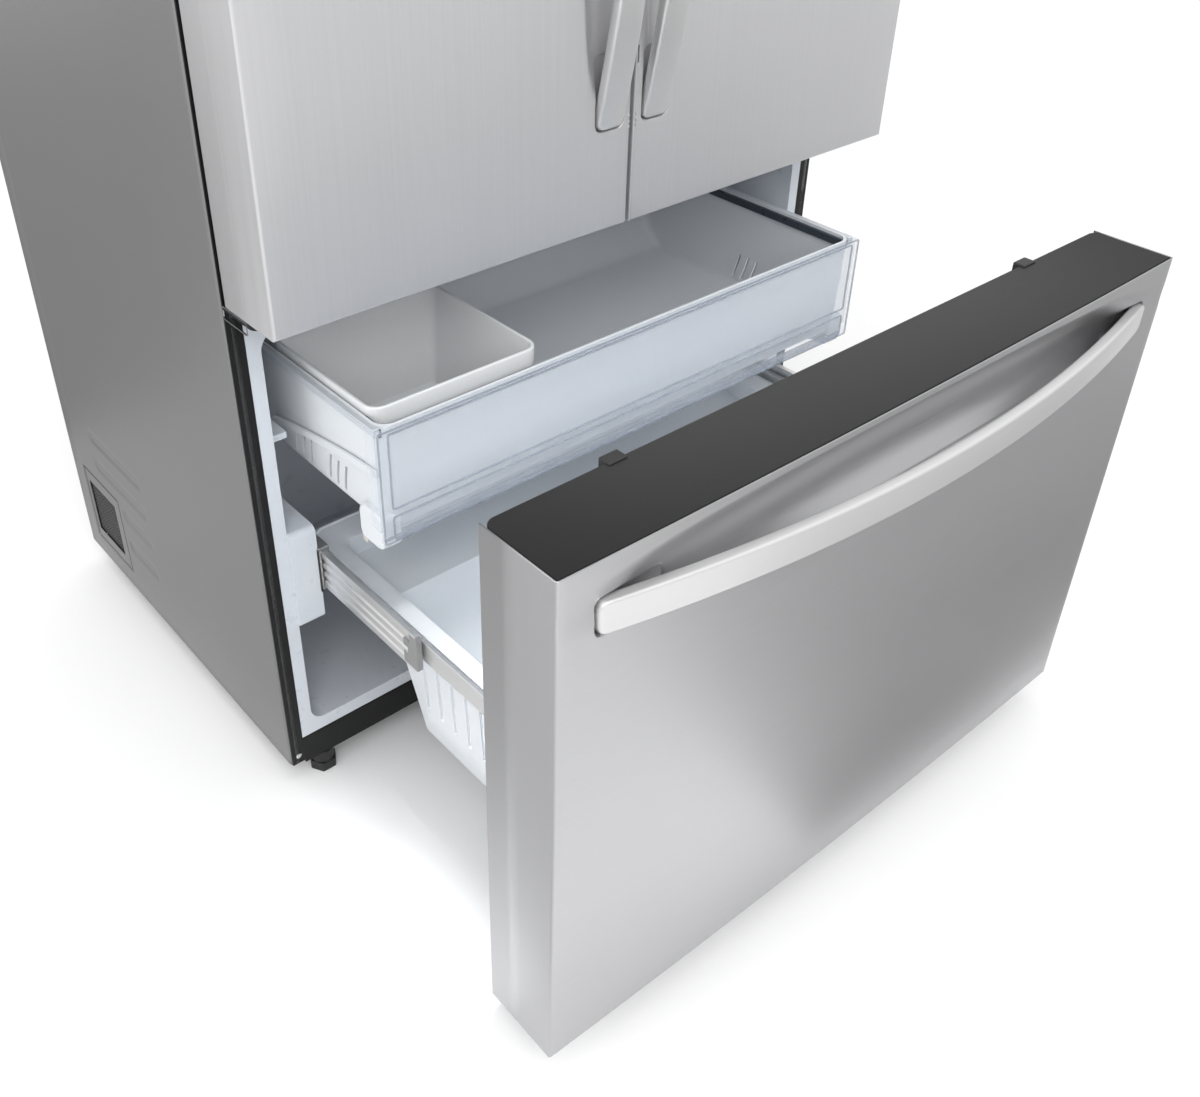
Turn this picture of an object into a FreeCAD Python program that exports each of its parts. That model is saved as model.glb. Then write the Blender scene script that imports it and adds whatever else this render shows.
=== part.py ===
import FreeCAD, Part

import math
import os
import re

import Sketcher
from FreeCAD import Placement, Rotation, Vector

# French door refrigerator with a bottom freezer drawer.
# Frame: +X to the right, +Y to the back, +Z up, the floor at z = 0, the middle of the width at x = 0.
# A "depth" is measured backwards from the front plane of the closed doors, so y = front_y + depth.
# The rest state has the freezer drawer and the tray above it pulled out.

DIMENSIONS = {
    # Whole cabinet
    "width": 908, "front_y": -136, "case_front": 108, "case_back": 738,
    "case_bottom": 38, "case_top": 1750, "sheet": 1.5, "flange": 20, "flange_t": 8, "fit": 0.3,
    # Closed fronts
    "door_t": 97, "door_bottom": 707, "door_top": 1757, "door_gap": 6, "skin": 1.2,
    "drawer_bottom": 45, "drawer_top": 679, "drawer_open": 414, "drawer_bulge": 5, "cap_t": 3,
    "gasket_t": 10.5, "gasket_w": 14, "gasket_edge": 440, "hinge_x": 440, "hinge_depth": 57,
    # Compartments: inner half widths and heights
    "wall": 2.5, "lip_t": 2, "lip_half": 433.7,
    "fridge_half": 412, "fridge_floor": 742, "fridge_ceiling": 1700, "fridge_back": 672,
    "freezer_half": 417, "freezer_floor": 97, "freezer_ceiling": 658, "freezer_back": 650,
    "step_depth": 480, "step_height": 290, "mullion_bottom": 676, "mullion_top": 716,
    # Machine compartment at the lower back
    "machine_front": 505, "machine_top": 262, "vent_front": 600, "vent_back": 688,
    "vent_bottom": 90, "vent_top": 178,
    # Drawer runners
    "rail_z": 306, "rail_tall": 58, "rail_out": 384, "rail_front": 98, "rail_length": 500,
    "block_front": 100, "block_bottom": 262, "block_top": 400,
    # Drawer basket, upper tray and ice bin
    "basket_half": 352, "basket_rim": 340, "basket_floor": 125, "basket_back": 165, "plastic": 3,
    "tray_half": 371, "tray_front": -46, "tray_depth": 420, "tray_rim": 597, "tray_floor": 462,
    "panel_t": 5, "panel_half": 380, "panel_bottom": 455,
    # Handles
    "bar_tall": 34, "bar_t": 13, "bar_bow": 49, "drawer_bar_half": 412, "drawer_bar_z": 602,
    "door_bar_x": 15, "door_bar_w": 36, "door_bar_bottom": 822, "door_bar_half": 369, "door_bar_bow": 45,
    "scoop_r": 38, "scoop_deep": 28, "door_scoop_r": 34, "door_scoop_deep": 25, "door_scoop_x": 43,
    "seat_long": 76,
    # Fresh food compartment
    "shelf_front": 235, "shelf_back": 652, "glass_t": 4, "crisper_front": 262, "crisper_back": 645,
    "dyke": 33, "bin_deep": 94, "bin_t": 3,
    # Feet and rollers
    "foot_r": 19, "foot_x": 402, "foot_depth": 132, "roller_r": 18, "roller_w": 16, "roller_x": 400,
    "roller_depth": 690, "axle_r": 3, "fan_r": 52, "fan_hub": 14,
    "shaft_r": 2.5,
}

doc = FreeCAD.newDocument("refrigerator")
sheet = doc.addObject("Spreadsheet::Sheet", "Dims")
for row, (alias, value) in enumerate(DIMENSIONS.items(), start=1):
    sheet.set(f"A{row}", alias)
    sheet.set(f"B{row}", str(value))
    sheet.setAlias(f"B{row}", alias)
doc.recompute()

NODES = {}
counter = {"n": 0}


# ---------------------------------------------------------------- helpers

def bound(text):
    """An expression with each dimension's name pointed at its cell in the sheet."""
    return re.sub(r"[a-z][a-z_]*", lambda m: "Dims." + m[0] if m[0] in DIMENSIONS else m[0], str(text))


def value(text):
    """The same expression worked out, for the start values of sketches."""
    plain = re.sub(r"[a-z][a-z_]*", lambda m: f"({DIMENSIONS[m[0]]})", str(text))
    return FreeCAD.Units.Quantity(plain).Value


def unique(kind):
    counter["n"] += 1
    return f"{kind}_{counter['n']:03d}"


def node(name, thing):
    """Names a finished sub-part after the piece it is."""
    thing.Label = name
    NODES[name] = thing
    return thing


def place(thing, x, depth, z, turn=None):
    """Puts a shape's own origin at x, depth and z."""
    if turn:
        thing.Placement = Placement(Vector(), turn)
    thing.setExpression("Placement.Base.x", bound(x))
    thing.setExpression("Placement.Base.y", bound(f"front_y + {depth}"))
    thing.setExpression("Placement.Base.z", bound(z))
    return thing


def box(x, depth, z, size_x, size_y, size_z):
    thing = doc.addObject("Part::Box", unique("box"))
    thing.setExpression("Length", bound(size_x))
    thing.setExpression("Width", bound(size_y))
    thing.setExpression("Height", bound(size_z))
    return place(thing, x, depth, z)


def span(x0, x1, d0, d1, z0, z1):
    """A box given by its lowest and highest faces."""
    return box(x0, d0, z0, f"({x1}) - ({x0})", f"({d1}) - ({d0})", f"({z1}) - ({z0})")


TURNS = {
    "+z": Rotation(),
    "+x": Rotation(Vector(0, 1, 0), 90),
    "+y": Rotation(Vector(1, 0, 0), -90),
}


def cylinder(x, depth, z, axis, radius, length):
    thing = doc.addObject("Part::Cylinder", unique("cylinder"))
    thing.setExpression("Radius", bound(radius))
    thing.setExpression("Height", bound(length))
    return place(thing, x, depth, z, TURNS[axis])


def torus(x, depth, z, turn, major, minor):
    thing = doc.addObject("Part::Torus", unique("torus"))
    thing.setExpression("Radius1", bound(major))
    thing.setExpression("Radius2", bound(minor))
    return place(thing, x, depth, z, turn)


def fuse(*parts):
    thing = doc.addObject("Part::MultiFuse", unique("fuse"))
    thing.Shapes = list(parts)
    return thing


def cut(base, *tools):
    thing = doc.addObject("Part::Cut", unique("cut"))
    thing.Base = base
    thing.Tool = tools[0] if len(tools) == 1 else fuse(*tools)
    return thing


def group(*parts):
    """Separate solids that share one node."""
    thing = doc.addObject("Part::Compound", unique("group"))
    thing.Links = list(parts)
    return thing


def rounded(base, radius, wanted):
    """Fillets the edges whose middle point and direction pass the test."""
    doc.recompute()
    thing = doc.addObject("Part::Fillet", unique("fillet"))
    thing.Base = base
    edges = []
    for i, edge in enumerate(base.Shape.Edges, start=1):
        middle = edge.CenterOfMass
        along = (edge.Vertexes[-1].Point - edge.Vertexes[0].Point)
        if along.Length > 0 and wanted(middle, along.normalize()):
            edges.append((i, radius, radius))
    thing.Edges = edges
    return thing


def vertical(middle, along):
    return abs(along.z) > 0.99


def ring(x0, x1, z0, z1, d0, d1, wide):
    """A flat rectangular frame that stands across the front."""
    outer = span(x0, x1, d0, d1, z0, z1)
    inner = span(f"{x0} + {wide}", f"{x1} - {wide}", f"{d0} - 1", f"{d1} + 1", f"{z0} + {wide}",
                 f"{z1} - {wide}")
    return cut(outer, inner)


def tub(x0, x1, d0, d1, z0, z1, wall, floor=None):
    """An open box with rounded upright corners and walls of one thickness."""
    outer = rounded(span(x0, x1, d0, d1, z0, z1), 14, vertical)
    inner = rounded(
        span(f"{x0} + {wall}", f"{x1} - {wall}", f"{d0} + {wall}", f"{d1} - {wall}",
             f"{z0} + {floor or wall}", f"{z1} + 5"),
        11, vertical)
    return cut(outer, inner)


def new_body(name):
    return doc.addObject("PartDesign::Body", unique(name))


def sketch_on(body, role, offset="0"):
    sketch = body.newObject("Sketcher::SketchObject", unique("sketch"))
    plane = next(f for f in body.Origin.OriginFeatures if f.Role == role)
    sketch.AttachmentSupport = [(plane, "")]
    sketch.MapMode = "FlatFace"
    sketch.setExpression("AttachmentOffset.Base.z", bound(offset))
    return sketch


def tie(sketch, geometry, point, u, v):
    """Holds one sketch point at distances bound to the sheet."""
    for kind, text in (("DistanceX", u), ("DistanceY", v)):
        index = sketch.addConstraint(Sketcher.Constraint(kind, -1, 1, geometry, point, value(text)))
        sketch.setExpression(f"Constraints[{index}]", bound(text))


def outline(sketch, points):
    """A closed outline through points given as pairs of expressions.

    A third entry on a point is the middle of the arc that leads to the next point.
    """
    count = len(points)
    flat = [Vector(value(p[0]), value(p[1]), 0) for p in points]
    for i, point in enumerate(points):
        start, end = flat[i], flat[(i + 1) % count]
        if len(point) > 2:
            middle = Vector(value(point[2][0]), value(point[2][1]), 0)
            sketch.addGeometry(Part.Arc(start, middle, end), False)
        else:
            sketch.addGeometry(Part.LineSegment(start, end), False)
    starts = [(1, 2) if anticlockwise(flat[i], point, flat[(i + 1) % count]) else (2, 1)
              for i, point in enumerate(points)]
    for i, point in enumerate(points):
        after = (i + 1) % count
        sketch.addConstraint(Sketcher.Constraint("Coincident", i, starts[i][1], after, starts[after][0]))
        tie(sketch, i, starts[i][0], point[0], point[1])
        if len(point) > 2:
            hold_radius(sketch, i)
    return sketch


def anticlockwise(start, point, end):
    """Whether a stretch of outline runs the way a sketch stores it: lines as drawn, arcs anticlockwise."""
    if len(point) < 3:
        return True
    middle = Vector(value(point[2][0]), value(point[2][1]), 0)
    return (middle - start).cross(end - middle).z > 0


def hold_radius(sketch, index):
    """Keeps an arc at its own radius."""
    sketch.addConstraint(Sketcher.Constraint("Radius", index, sketch.Geometry[index].Radius))


def pad(body, sketch, length, both=False):
    feature = body.newObject("PartDesign::Pad", unique("pad"))
    feature.Profile = sketch
    feature.setExpression("Length", bound(length))
    feature.Midplane = both
    body.Tip = feature
    sketch.Visibility = False
    return feature


def pocket(body, sketch, length, reverse=False, both=False):
    before = body.Shape.Volume
    feature = body.newObject("PartDesign::Pocket", unique("pocket"))
    feature.Profile = sketch
    feature.setExpression("Length", bound(length))
    feature.Midplane = both
    feature.Reversed = reverse
    body.Tip = feature
    doc.recompute()
    if body.Shape.Volume >= before - 1:
        raise RuntimeError(f"{feature.Name} cut nothing")
    return feature


def revolve(body, sketch):
    feature = body.newObject("PartDesign::Revolution", unique("revolution"))
    feature.Profile = sketch
    feature.ReferenceAxis = (sketch, ["V_Axis"])
    feature.Angle = 360
    body.Tip = feature
    return feature


def turned(points, x, depth, z, axis="+z"):
    """A solid of revolution: points are radius and height along its axis."""
    body = new_body("turned")
    sketch = sketch_on(body, "XZ_Plane")
    outline(sketch, points)
    revolve(body, sketch)
    return place(body, x, depth, z, TURNS[axis])


def mirrored_x(thing):
    """The same sub-part on the other side of the middle plane."""
    doc.recompute()
    twin = doc.addObject("Part::Mirroring", unique("mirror"))
    twin.Source = thing
    twin.Normal = Vector(1, 0, 0)
    twin.Base = Vector(0, 0, 0)
    return twin


# ---------------------------------------------------------------- cabinet

def cabinet_shell():
    """Painted steel wrap: two sides and the top, with vent windows and embossed ribs at the lower back."""
    outer = span("-width/2", "width/2", "case_front", "case_back", "case_bottom", "case_top")
    inner = span("-width/2 + sheet", "width/2 - sheet", "case_front - 1", "case_back + 1",
                 "case_bottom - 1", "case_top - sheet")
    tools = [inner]
    tools.append(span("-width/2 - 1", "width/2 + 1", "vent_front", "vent_back", "vent_bottom", "vent_top"))
    for side in ("-width/2 - 1", "width/2 - 0.6"):
        for level in (280, 229, 178, 122):
            front = 464
            back = 637 if level > 200 else 560
            tools.append(box(side, str(front), str(level), "1.6", str(back - front), "20"))
    node("cabinet_shell", cut(outer, *tools))


def side_vents():
    """Louvred grilles that close the two side windows of the machine compartment."""
    vents = []
    for side in ("-width/2 + sheet + fit", "width/2 - sheet - fit - 2.5"):
        plate = span(side, f"{side} + 2.5", "vent_front - 8", "vent_back + 8", "vent_bottom - 8",
                     "vent_top + 8")
        slots = []
        for i in range(9):
            for j in range(9):
                slots.append(box(f"{side} - 1", f"vent_front + {3 + i * 9.3:.1f}",
                                 f"vent_bottom + {3 + j * 9.3:.1f}",
                                 "5", "6.6", "6.6"))
        vents.append(cut(plate, *slots))
    node("side_vents", group(*vents))


def front_frame():
    """Black painted face frame behind the door gaskets."""
    half = "width/2 - sheet - fit"
    outer = span(f"-({half})", half, "case_front", "case_front + flange_t", "case_bottom + 42",
                 "case_top - sheet - fit")
    inner = span("-width/2 + flange", "width/2 - flange", "case_front - 1", "case_front + flange_t + 1",
                 "case_bottom", "case_top - flange - 2")
    feet = [span(x0, x1, "case_front", "case_front + flange_t", "case_bottom", "case_bottom + 42")
            for x0, x1 in ((f"-({half})", "-width/2 + flange"), ("width/2 - flange", half))]
    node("front_frame", fuse(cut(outer, inner), *feet))


def mullion_beam():
    """Cross beam between the two compartments, which carries the centre hinges."""
    node("mullion_beam", span("-width/2 + flange + fit", "width/2 - flange - fit", "case_front + 0.2",
                              "case_front + 26", "mullion_bottom", "mullion_top"))


def base_frame():
    """Front kick bar and the floor pan that the feet, rollers and machine parts bolt to."""
    bar = rounded(span("-width/2 + flange + fit", "width/2 - flange - fit", "case_front + 0.4",
                       "case_front + 24",
                       "33", "77"), 3, lambda m, a: abs(a.x) > 0.99 and m.z > 60)
    pan = span("-width/2 + sheet + 1", "width/2 - sheet - 1", "case_front + 24", "case_back - 3",
               "case_bottom",
               "case_bottom + 2")
    node("base_frame", fuse(bar, pan))


def liner(half, floor, ceiling, back, lip_bottom, lip_top, notch=None):
    """One vacuum-formed compartment: a front lip and thin walls."""
    lip = span("-lip_half", "lip_half", "case_front + 0.2", "case_front + lip_t + 0.2", lip_bottom, lip_top)
    walls = rounded(span(f"-{half} - wall", f"{half} + wall", "case_front + 0.3", f"{back} + wall",
                         f"{floor} - wall", f"{ceiling} + wall"), 22, lambda m, a: abs(a.y) > 0.99)
    inside = rounded(span(f"-{half}", half, "case_front - 20", back, floor, ceiling), 20,
                     lambda m, a: abs(a.y) > 0.99)
    if notch:
        walls = cut(walls, span(f"-{half} - 20", f"{half} + 20", notch[0], f"{back} + 20", f"{floor} - 20",
                                f"{notch[1]} - wall"))
        inside = cut(inside, span(f"-{half} - 20", f"{half} + 20", f"{notch[0]} - wall", f"{back} + 20",
                                  f"{floor} - 20", notch[1]))
    return cut(fuse(lip, walls), inside)


def liners():
    fridge = liner("fridge_half", "fridge_floor", "fridge_ceiling", "fridge_back", "mullion_top + fit",
                   "case_top - flange - 2 - fit")
    node("fridge_liner", fridge)
    freezer = liner("freezer_half", "freezer_floor", "freezer_ceiling", "freezer_back", "78",
                    "mullion_bottom - fit",
                    ("step_depth", "step_height"))
    blocks = []
    for x0, x1 in (("-freezer_half - 1", "-rail_out - fit"), ("rail_out + fit", "freezer_half + 1")):
        blocks.append(rounded(span(x0, x1, "block_front", "step_depth - 20", "block_bottom", "block_top"), 8,
                              lambda m, a: abs(a.x) > 0.99))
        blocks.append(span(x0, x1, "step_depth - 30", "rail_front + rail_length", "step_height + 3",
                           "block_top"))
    for x0, x1 in (("-freezer_half - 1", "-tray_half - 20"), ("tray_half + 20", "freezer_half + 1")):
        blocks.append(span(x0, x1, "case_front + 20", "600", "512", "520"))
    node("freezer_liner", fuse(freezer, *blocks))


def foam_insulation():
    """Foamed core between the shell and the liners."""
    core = span("-width/2 + sheet + fit", "width/2 - sheet - fit", "case_front + 26.3", "case_back - 2",
                "case_bottom + 2.3", "case_top - sheet - fit")
    fridge = span("-fridge_half - wall - fit", "fridge_half + wall + fit", "case_front",
                  "fridge_back + wall + fit",
                  "fridge_floor - wall - fit", "fridge_ceiling + wall + fit")
    freezer = span("-freezer_half - wall - fit", "freezer_half + wall + fit", "case_front",
                   "freezer_back + wall + fit", "step_height - wall - fit", "freezer_ceiling + wall + fit")
    lower = span("-freezer_half - wall - fit", "freezer_half + wall + fit", "case_front", "step_depth + fit",
                 "freezer_floor - wall - fit", "step_height")
    machine = span("-width/2", "width/2", "machine_front", "case_back", "case_bottom", "machine_top")
    node("foam_insulation", cut(core, fridge, freezer, lower, machine))


def back_covers():
    """Rear sheet above, louvred cover over the machine compartment below."""
    node("back_panel", span("-width/2 + sheet + fit", "width/2 - sheet - fit", "case_back - 1.7", "case_back",
                            "machine_top + 2", "case_top - sheet - fit"))
    cover = span("-width/2 + sheet + 2", "width/2 - sheet - 2", "case_back - 3.6", "case_back - 1.9",
                 "case_bottom + 3", "machine_top - 0.5")
    slots = [span("165", "215", "case_back - 5", "case_back + 5", "70", "120"),
             span("-40", "10", "case_back - 5", "case_back + 5", "200", "240")]
    for row in range(8):
        for start in (-420, -300, 240, 340):
            slots.append(box(str(start), "case_back - 5", str(70 + row * 20), "80", "10", "8"))
    node("machine_cover", cut(cover, *slots))


def top_fittings():
    """Upper hinge brackets with their pins, and the plastic covers over them."""
    brackets, covers = [], []
    for side in (-1, 1):
        x = f"{side} * hinge_x"
        plate = rounded(span(f"{x} - 13", f"{x} + 13", "hinge_depth - 16", "case_front + 90", "door_top + 1",
                             "door_top + 5"), 10, vertical)
        foot = span(f"{x} - 13", f"{x} + 13", "case_front + 2", "case_front + 90", "case_top",
                    "door_top + 1.2")
        pin = cylinder(x, "hinge_depth", "door_top - 22", "+z", "5", "26")
        brackets.append(fuse(plate, foot, pin))
        shell = rounded(span(f"{x} - 14", f"{x} + 14", "hinge_depth - 19", "case_front + 96",
                             "door_top + 5.3",
                             "door_top + 27"), 11, vertical)
        covers.append(shell)
    node("upper_hinges", group(*brackets))
    node("hinge_covers", group(*covers))


def centre_hinges():
    """Brackets on the mullion beam that carry the lower pins of the two doors."""
    brackets = []
    for side in (-1, 1):
        x = f"{side} * hinge_x"
        plate = rounded(span(f"{x} - 13", f"{x} + 13", "hinge_depth - 14", "case_front - fit",
                             "door_bottom - 7",
                             "door_bottom - 2"), 10, lambda m, a: abs(a.z) > 0.99 and m.y < -60)
        inner = f"{x} + 6" if side < 0 else f"{x} - 36"
        tab = span(inner, f"{inner} + 30", "case_front - 4.3", "case_front - fit", "mullion_bottom + 2",
                   "door_bottom - 2")
        pin = cylinder(x, "hinge_depth", "door_bottom - 6", "+z", "5", "24")
        brackets.append(fuse(plate, tab, pin))
    node("centre_hinges", group(*brackets))


def feet_and_rollers():
    """Levelling feet at the front, rollers in brackets at the back."""
    feet = []
    for side in (-1, 1):
        feet.append(turned([("0", "0"), ("foot_r - 2", "0"), ("foot_r", "3"), ("foot_r", "12"),
                            ("foot_r - 6", "17"),
                            ("9", "17"), ("9", "27"), ("6", "27"), ("6", "32.7"), ("0", "32.7")],
                           f"{side} * foot_x", "foot_depth - 10", "0"))
    node("front_feet", group(*feet))
    brackets = []
    for side, name in ((-1, "left_roller"), (1, "right_roller")):
        x = f"{side} * roller_x"
        wheel = turned([("axle_r + 0.06", "0"), ("roller_r - 1.5", "0"), ("roller_r", "1.5"),
                        ("roller_r", "roller_w - 1.5"), ("roller_r - 1.5", "roller_w"),
                        ("axle_r + 0.06", "roller_w")],
                       f"{x} - roller_w/2", "roller_depth", "roller_r", "+x")
        node(name, wheel)
        for ear in (f"{x} - roller_w/2 - 3.5", f"{x} + roller_w/2 + 0.5"):
            brackets.append(span(ear, f"{ear} + 3", "roller_depth - 12", "roller_depth + 12", "10",
                                 "case_bottom"))
        brackets.append(cylinder(f"{x} - roller_w/2 - 4", "roller_depth", "roller_r", "+x", "axle_r",
                                 "roller_w + 8"))
    left = fuse(*brackets[:3])
    right = fuse(*brackets[3:])
    node("roller_brackets", group(left, right))


def frame_screws():
    """Screws at the lower corners of the face frame and along the machine cover."""
    screws = []
    for side in (-1, 1):
        screws.append(turned([("0", "0"), ("4", "0"), ("4", "1.4"), ("2.5", "2.2"), ("0", "2.2")],
                             f"{side} * 443", "case_front", "52", "+y"))
        screws[-1].Placement = Placement(screws[-1].Placement.Base, Rotation(Vector(1, 0, 0), 90))
    for x in (-440, -230, 0, 230, 440):
        screws.append(turned([("0", "0"), ("4", "0"), ("4", "1"), ("2.5", "1.6"), ("0", "1.6")],
                             str(x), "case_back - 1.9", "machine_top - 8", "+y"))
    node("frame_screws", group(*screws))


# ---------------------------------------------------------------- machine compartment and cold circuit

def machine_parts():
    """Compressor, condenser with its fan, drain pan, water valve and power inlet."""
    dome = turned([("0", "0"), ("82", "0"), ("90", "10"), ("90", "95", ("78", "127")), ("48", "140"),
                   ("0", "140")], "290", "625", "60")
    legs = [cylinder(x, d, "case_bottom + 2", "+z", "10", "24")
            for x in ("222", "358") for d in ("560", "690")]
    rail = span("205", "375", "545", "705", "58", "62")
    node("compressor", fuse(dome, rail, *legs))

    tubes = []
    for row in range(3):
        for level in range(7):
            tubes.append(cylinder("-410", str(580 + row * 40), str(70 + level * 25), "+x", "3.2", "210"))
    plates = [box(str(x), "560", "55", "2", "130", "190") for x in range(-405, -200, 12)]
    node("condenser_coil", fuse(*tubes, *plates))

    shroud = span("-150", "-146", "560", "700", "50", "240")
    hole = cylinder("-152", "630", "145", "+x", "fan_r + 8", "20")
    node("fan_shroud", cut(shroud, hole))
    node("condenser_fan", fan("-134", "630", "145", "fan_r", "fan_hub", "+x"))
    can = cylinder("-114", "630", "145", "+x", "22", "28")
    spindle = cylinder("-128", "630", "145", "+x", "shaft_r", "15")
    post = span("-106", "-96", "625", "635", "44", "125")
    foot = span("-146", "-86", "612", "648", "case_bottom + 2", "case_bottom + 6")
    cold_can = cylinder("0", "614", "585", "+y", "18", "24")
    cold_spindle = cylinder("0", "604", "585", "+y", "shaft_r", "11")
    strap = span("-70", "70", "638", "642", "575", "595")
    lugs = [span(x, f"{x} + 12", "642", "freezer_back", "575", "595") for x in ("-70", "58")]
    node("fan_motors", group(fuse(can, spindle, post, foot), fuse(cold_can, cold_spindle, strap, *lugs)))

    pan = tub("-60", "150", "540", "715", "case_bottom + 2", "case_bottom + 44", "2")
    node("drain_pan", pan)

    body = span("170", "210", "case_back - 60", "case_back - 22", "75", "115")
    inlet = cylinder("190", "case_back - 23", "95", "+y", "6.35", "23")
    bore = cylinder("190", "case_back - 15", "95", "+y", "3.5", "20")
    coil = cylinder("180", "case_back - 41", "115", "+z", "15", "32")
    node("water_valve", cut(fuse(body, inlet, coil), bore))

    plug = span("-38", "8", "case_back - 24", "case_back - 0.2", "202", "238")
    well = span("-32", "2", "case_back - 18", "case_back + 2", "208", "232")
    pins = [box(str(x), "case_back - 19", "214", "2", "14", "8") for x in (-24, -16, -8)]
    node("power_inlet", fuse(cut(plug, well), *pins))


def fan(x, depth, z, radius, hub, axis):
    """An axial fan: a hub with five slanted blades."""
    parts = [cylinder(x, depth, z, axis, hub, "12")]
    for i in range(5):
        angle = 72 * i
        blade = doc.addObject("Part::Box", unique("blade"))
        blade.Length, blade.Width = 2, 30
        blade.setExpression("Height", bound(f"{radius} - {hub} + 3"))
        twist = Rotation(Vector(0, 0, 1), 32)
        base = Vector(-1, -15, value(f"{hub} - 3"))
        spin = Rotation(Vector(1, 0, 0), angle)
        if axis == "+y":
            spin = Rotation(Vector(0, 0, 1), 90).multiply(spin)
        centre = Vector(value(x), value(f"front_y + {depth}"), value(z))
        middle = Vector(6, 0, 0) if axis == "+x" else Vector(0, 6, 0)
        blade.Placement = Placement(centre + middle, spin).multiply(
            Placement(Vector(), twist)).multiply(Placement(base, Rotation()))
        parts.append(blade)
    start = (f"{x} + 5", depth) if axis == "+x" else (x, f"{depth} + 5")
    bore = cylinder(*start, z, axis, "shaft_r + 0.3", "10")
    return cut(fuse(*parts), bore)


def cold_circuit():
    """Evaporator behind its cover in the freezer, with the fan that blows the cold air out."""
    fins = [box(str(x), "600", "310", "1", "44", "200") for x in range(-320, 321, 16)]
    tubes = [cylinder("-335", str(610 + 22 * row), str(330 + 32 * level), "+x", "4", "670")
             for row in range(2) for level in range(6)]
    node("evaporator", fuse(*fins, *tubes))
    cover = rounded(span("-365", "365", "590", "593", "step_height + 3", "650"), 12,
                    lambda m, a: abs(a.y) > 0.99)
    vents = [cylinder("0", "585", "585", "+y", "fan_r - 2", "20")]
    for i in range(12):
        vents.append(box(str(-330 + i * 22), "585", "600", "9", "20", "34"))
        vents.append(box(str(79 + i * 22), "585", "600", "9", "20", "34"))
        vents.append(box(str(-330 + i * 56), "585", "step_height + 8", "40", "20", "8"))
    node("evaporator_cover", cut(cover, *vents))
    node("evaporator_fan", fan("0", "598", "585", "fan_r - 6", "fan_hub", "+y"))
    body = rounded(span("-398", "-262", "330", "575", "608", "656"), 8, lambda m, a: abs(a.y) > 0.99)
    moulds = [box("-385", str(345 + i * 31), "625", "85", "26", "40") for i in range(7)]
    node("ice_maker", cut(body, *moulds))


# ---------------------------------------------------------------- fresh food compartment

def shelves():
    """Glass shelves in moulded frames, and the glass cover over the crispers."""
    frames, panes = [], []
    places = [("-fridge_half + 1", "-4", "1330"), ("4", "fridge_half - 1", "1330"),
              ("-fridge_half + 1", "-4", "1510"),
              ("4", "fridge_half - 1", "1510"), ("-fridge_half + 1", "fridge_half - 1", "1085")]
    for x0, x1, z in places:
        frame = rounded(span(x0, x1, "shelf_front", "shelf_back", z, f"{z} + 16"), 9,
                        lambda m, a: abs(a.z) > 0.99 and m.y < 150)
        hole = span(f"{x0} + 14", f"{x1} - 14", "shelf_front + 16", "shelf_back - 14", f"{z} - 1",
                    f"{z} + 20")
        seat = span(f"{x0} + 8", f"{x1} - 8", "shelf_front + 10", "shelf_back - 8", f"{z} + 11", f"{z} + 20")
        frames.append(cut(frame, hole, seat))
        panes.append(span(f"{x0} + 8.2", f"{x1} - 8.2", "shelf_front + 10.2", "shelf_back - 8.2", f"{z} + 11",
                          f"{z} + 11 + glass_t"))
    node("shelf_frames", group(*frames))
    node("shelf_glass", group(*panes))


def bin_drawer(name, x0, x1, z0, z1):
    """A see-through drawer with a pull lip along its front."""
    shell = tub(x0, x1, "crisper_front", "crisper_back", z0, z1, "plastic")
    lip = span(f"{x0} + 40", f"{x1} - 40", "crisper_front - 12", "crisper_front + 1", f"{z1} - 14",
               f"{z1} - 2")
    node(name, fuse(shell, lip))


def fresh_food():
    shelves()
    bin_drawer("crisper_left", "-fridge_half + 6", "-4", "885", "1078")
    bin_drawer("crisper_right", "4", "fridge_half - 6", "885", "1078")
    bin_drawer("pantry_drawer", "-fridge_half + 14", "fridge_half - 14", "fridge_floor + 8", "870")
    duct = rounded(span("-85", "85", "654.5", "671.5", "1110", "1690"), 6,
                   lambda m, a: abs(a.z) > 0.99 and m.y < 530)
    vents = [box("-50", "640", str(1150 + i * 130), "100", "18", "12") for i in range(4)]
    node("air_duct", cut(duct, *vents))
    panel = rounded(span("-190", "190", "250", "420", "1680", "1699.5"), 7, lambda m, a: abs(a.z) > 0.99)
    screen = span("-120", "120", "245", "256", "1684", "1696")
    lamp = span("-150", "150", "275", "395", "1678", "1682")
    node("control_panel", cut(panel, screen, lamp))


# ---------------------------------------------------------------- doors

def scoop_tool(grow):
    """The hollow behind a door handle: part of a large ring that dips into the front."""
    major = "(door_bar_half - 22) * (door_bar_half - 22) / (2 * door_scoop_deep)"
    return torus("-door_scoop_x", f"door_scoop_deep - door_scoop_r - ({major})",
                 "door_bar_bottom + door_bar_half", TURNS["+x"], major, f"door_scoop_r + {grow}")


def end_seats(grow):
    """Shallow seats that take the two ends of a door handle."""
    seats = []
    for z in ("door_bar_bottom", "door_bar_bottom + 2 * door_bar_half - seat_long"):
        pocket_box = span(f"-door_bar_x - door_bar_w - 1.5 - ({grow})", f"-door_bar_x + 1.5 + {grow}", "-5",
                          f"9.4 + {grow}", f"{z} - 1.5 - ({grow})", f"{z} + seat_long + 1.5 + {grow}")
        seats.append(rounded(pocket_box, 8, lambda m, a: abs(a.y) > 0.99))
    return seats


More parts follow.
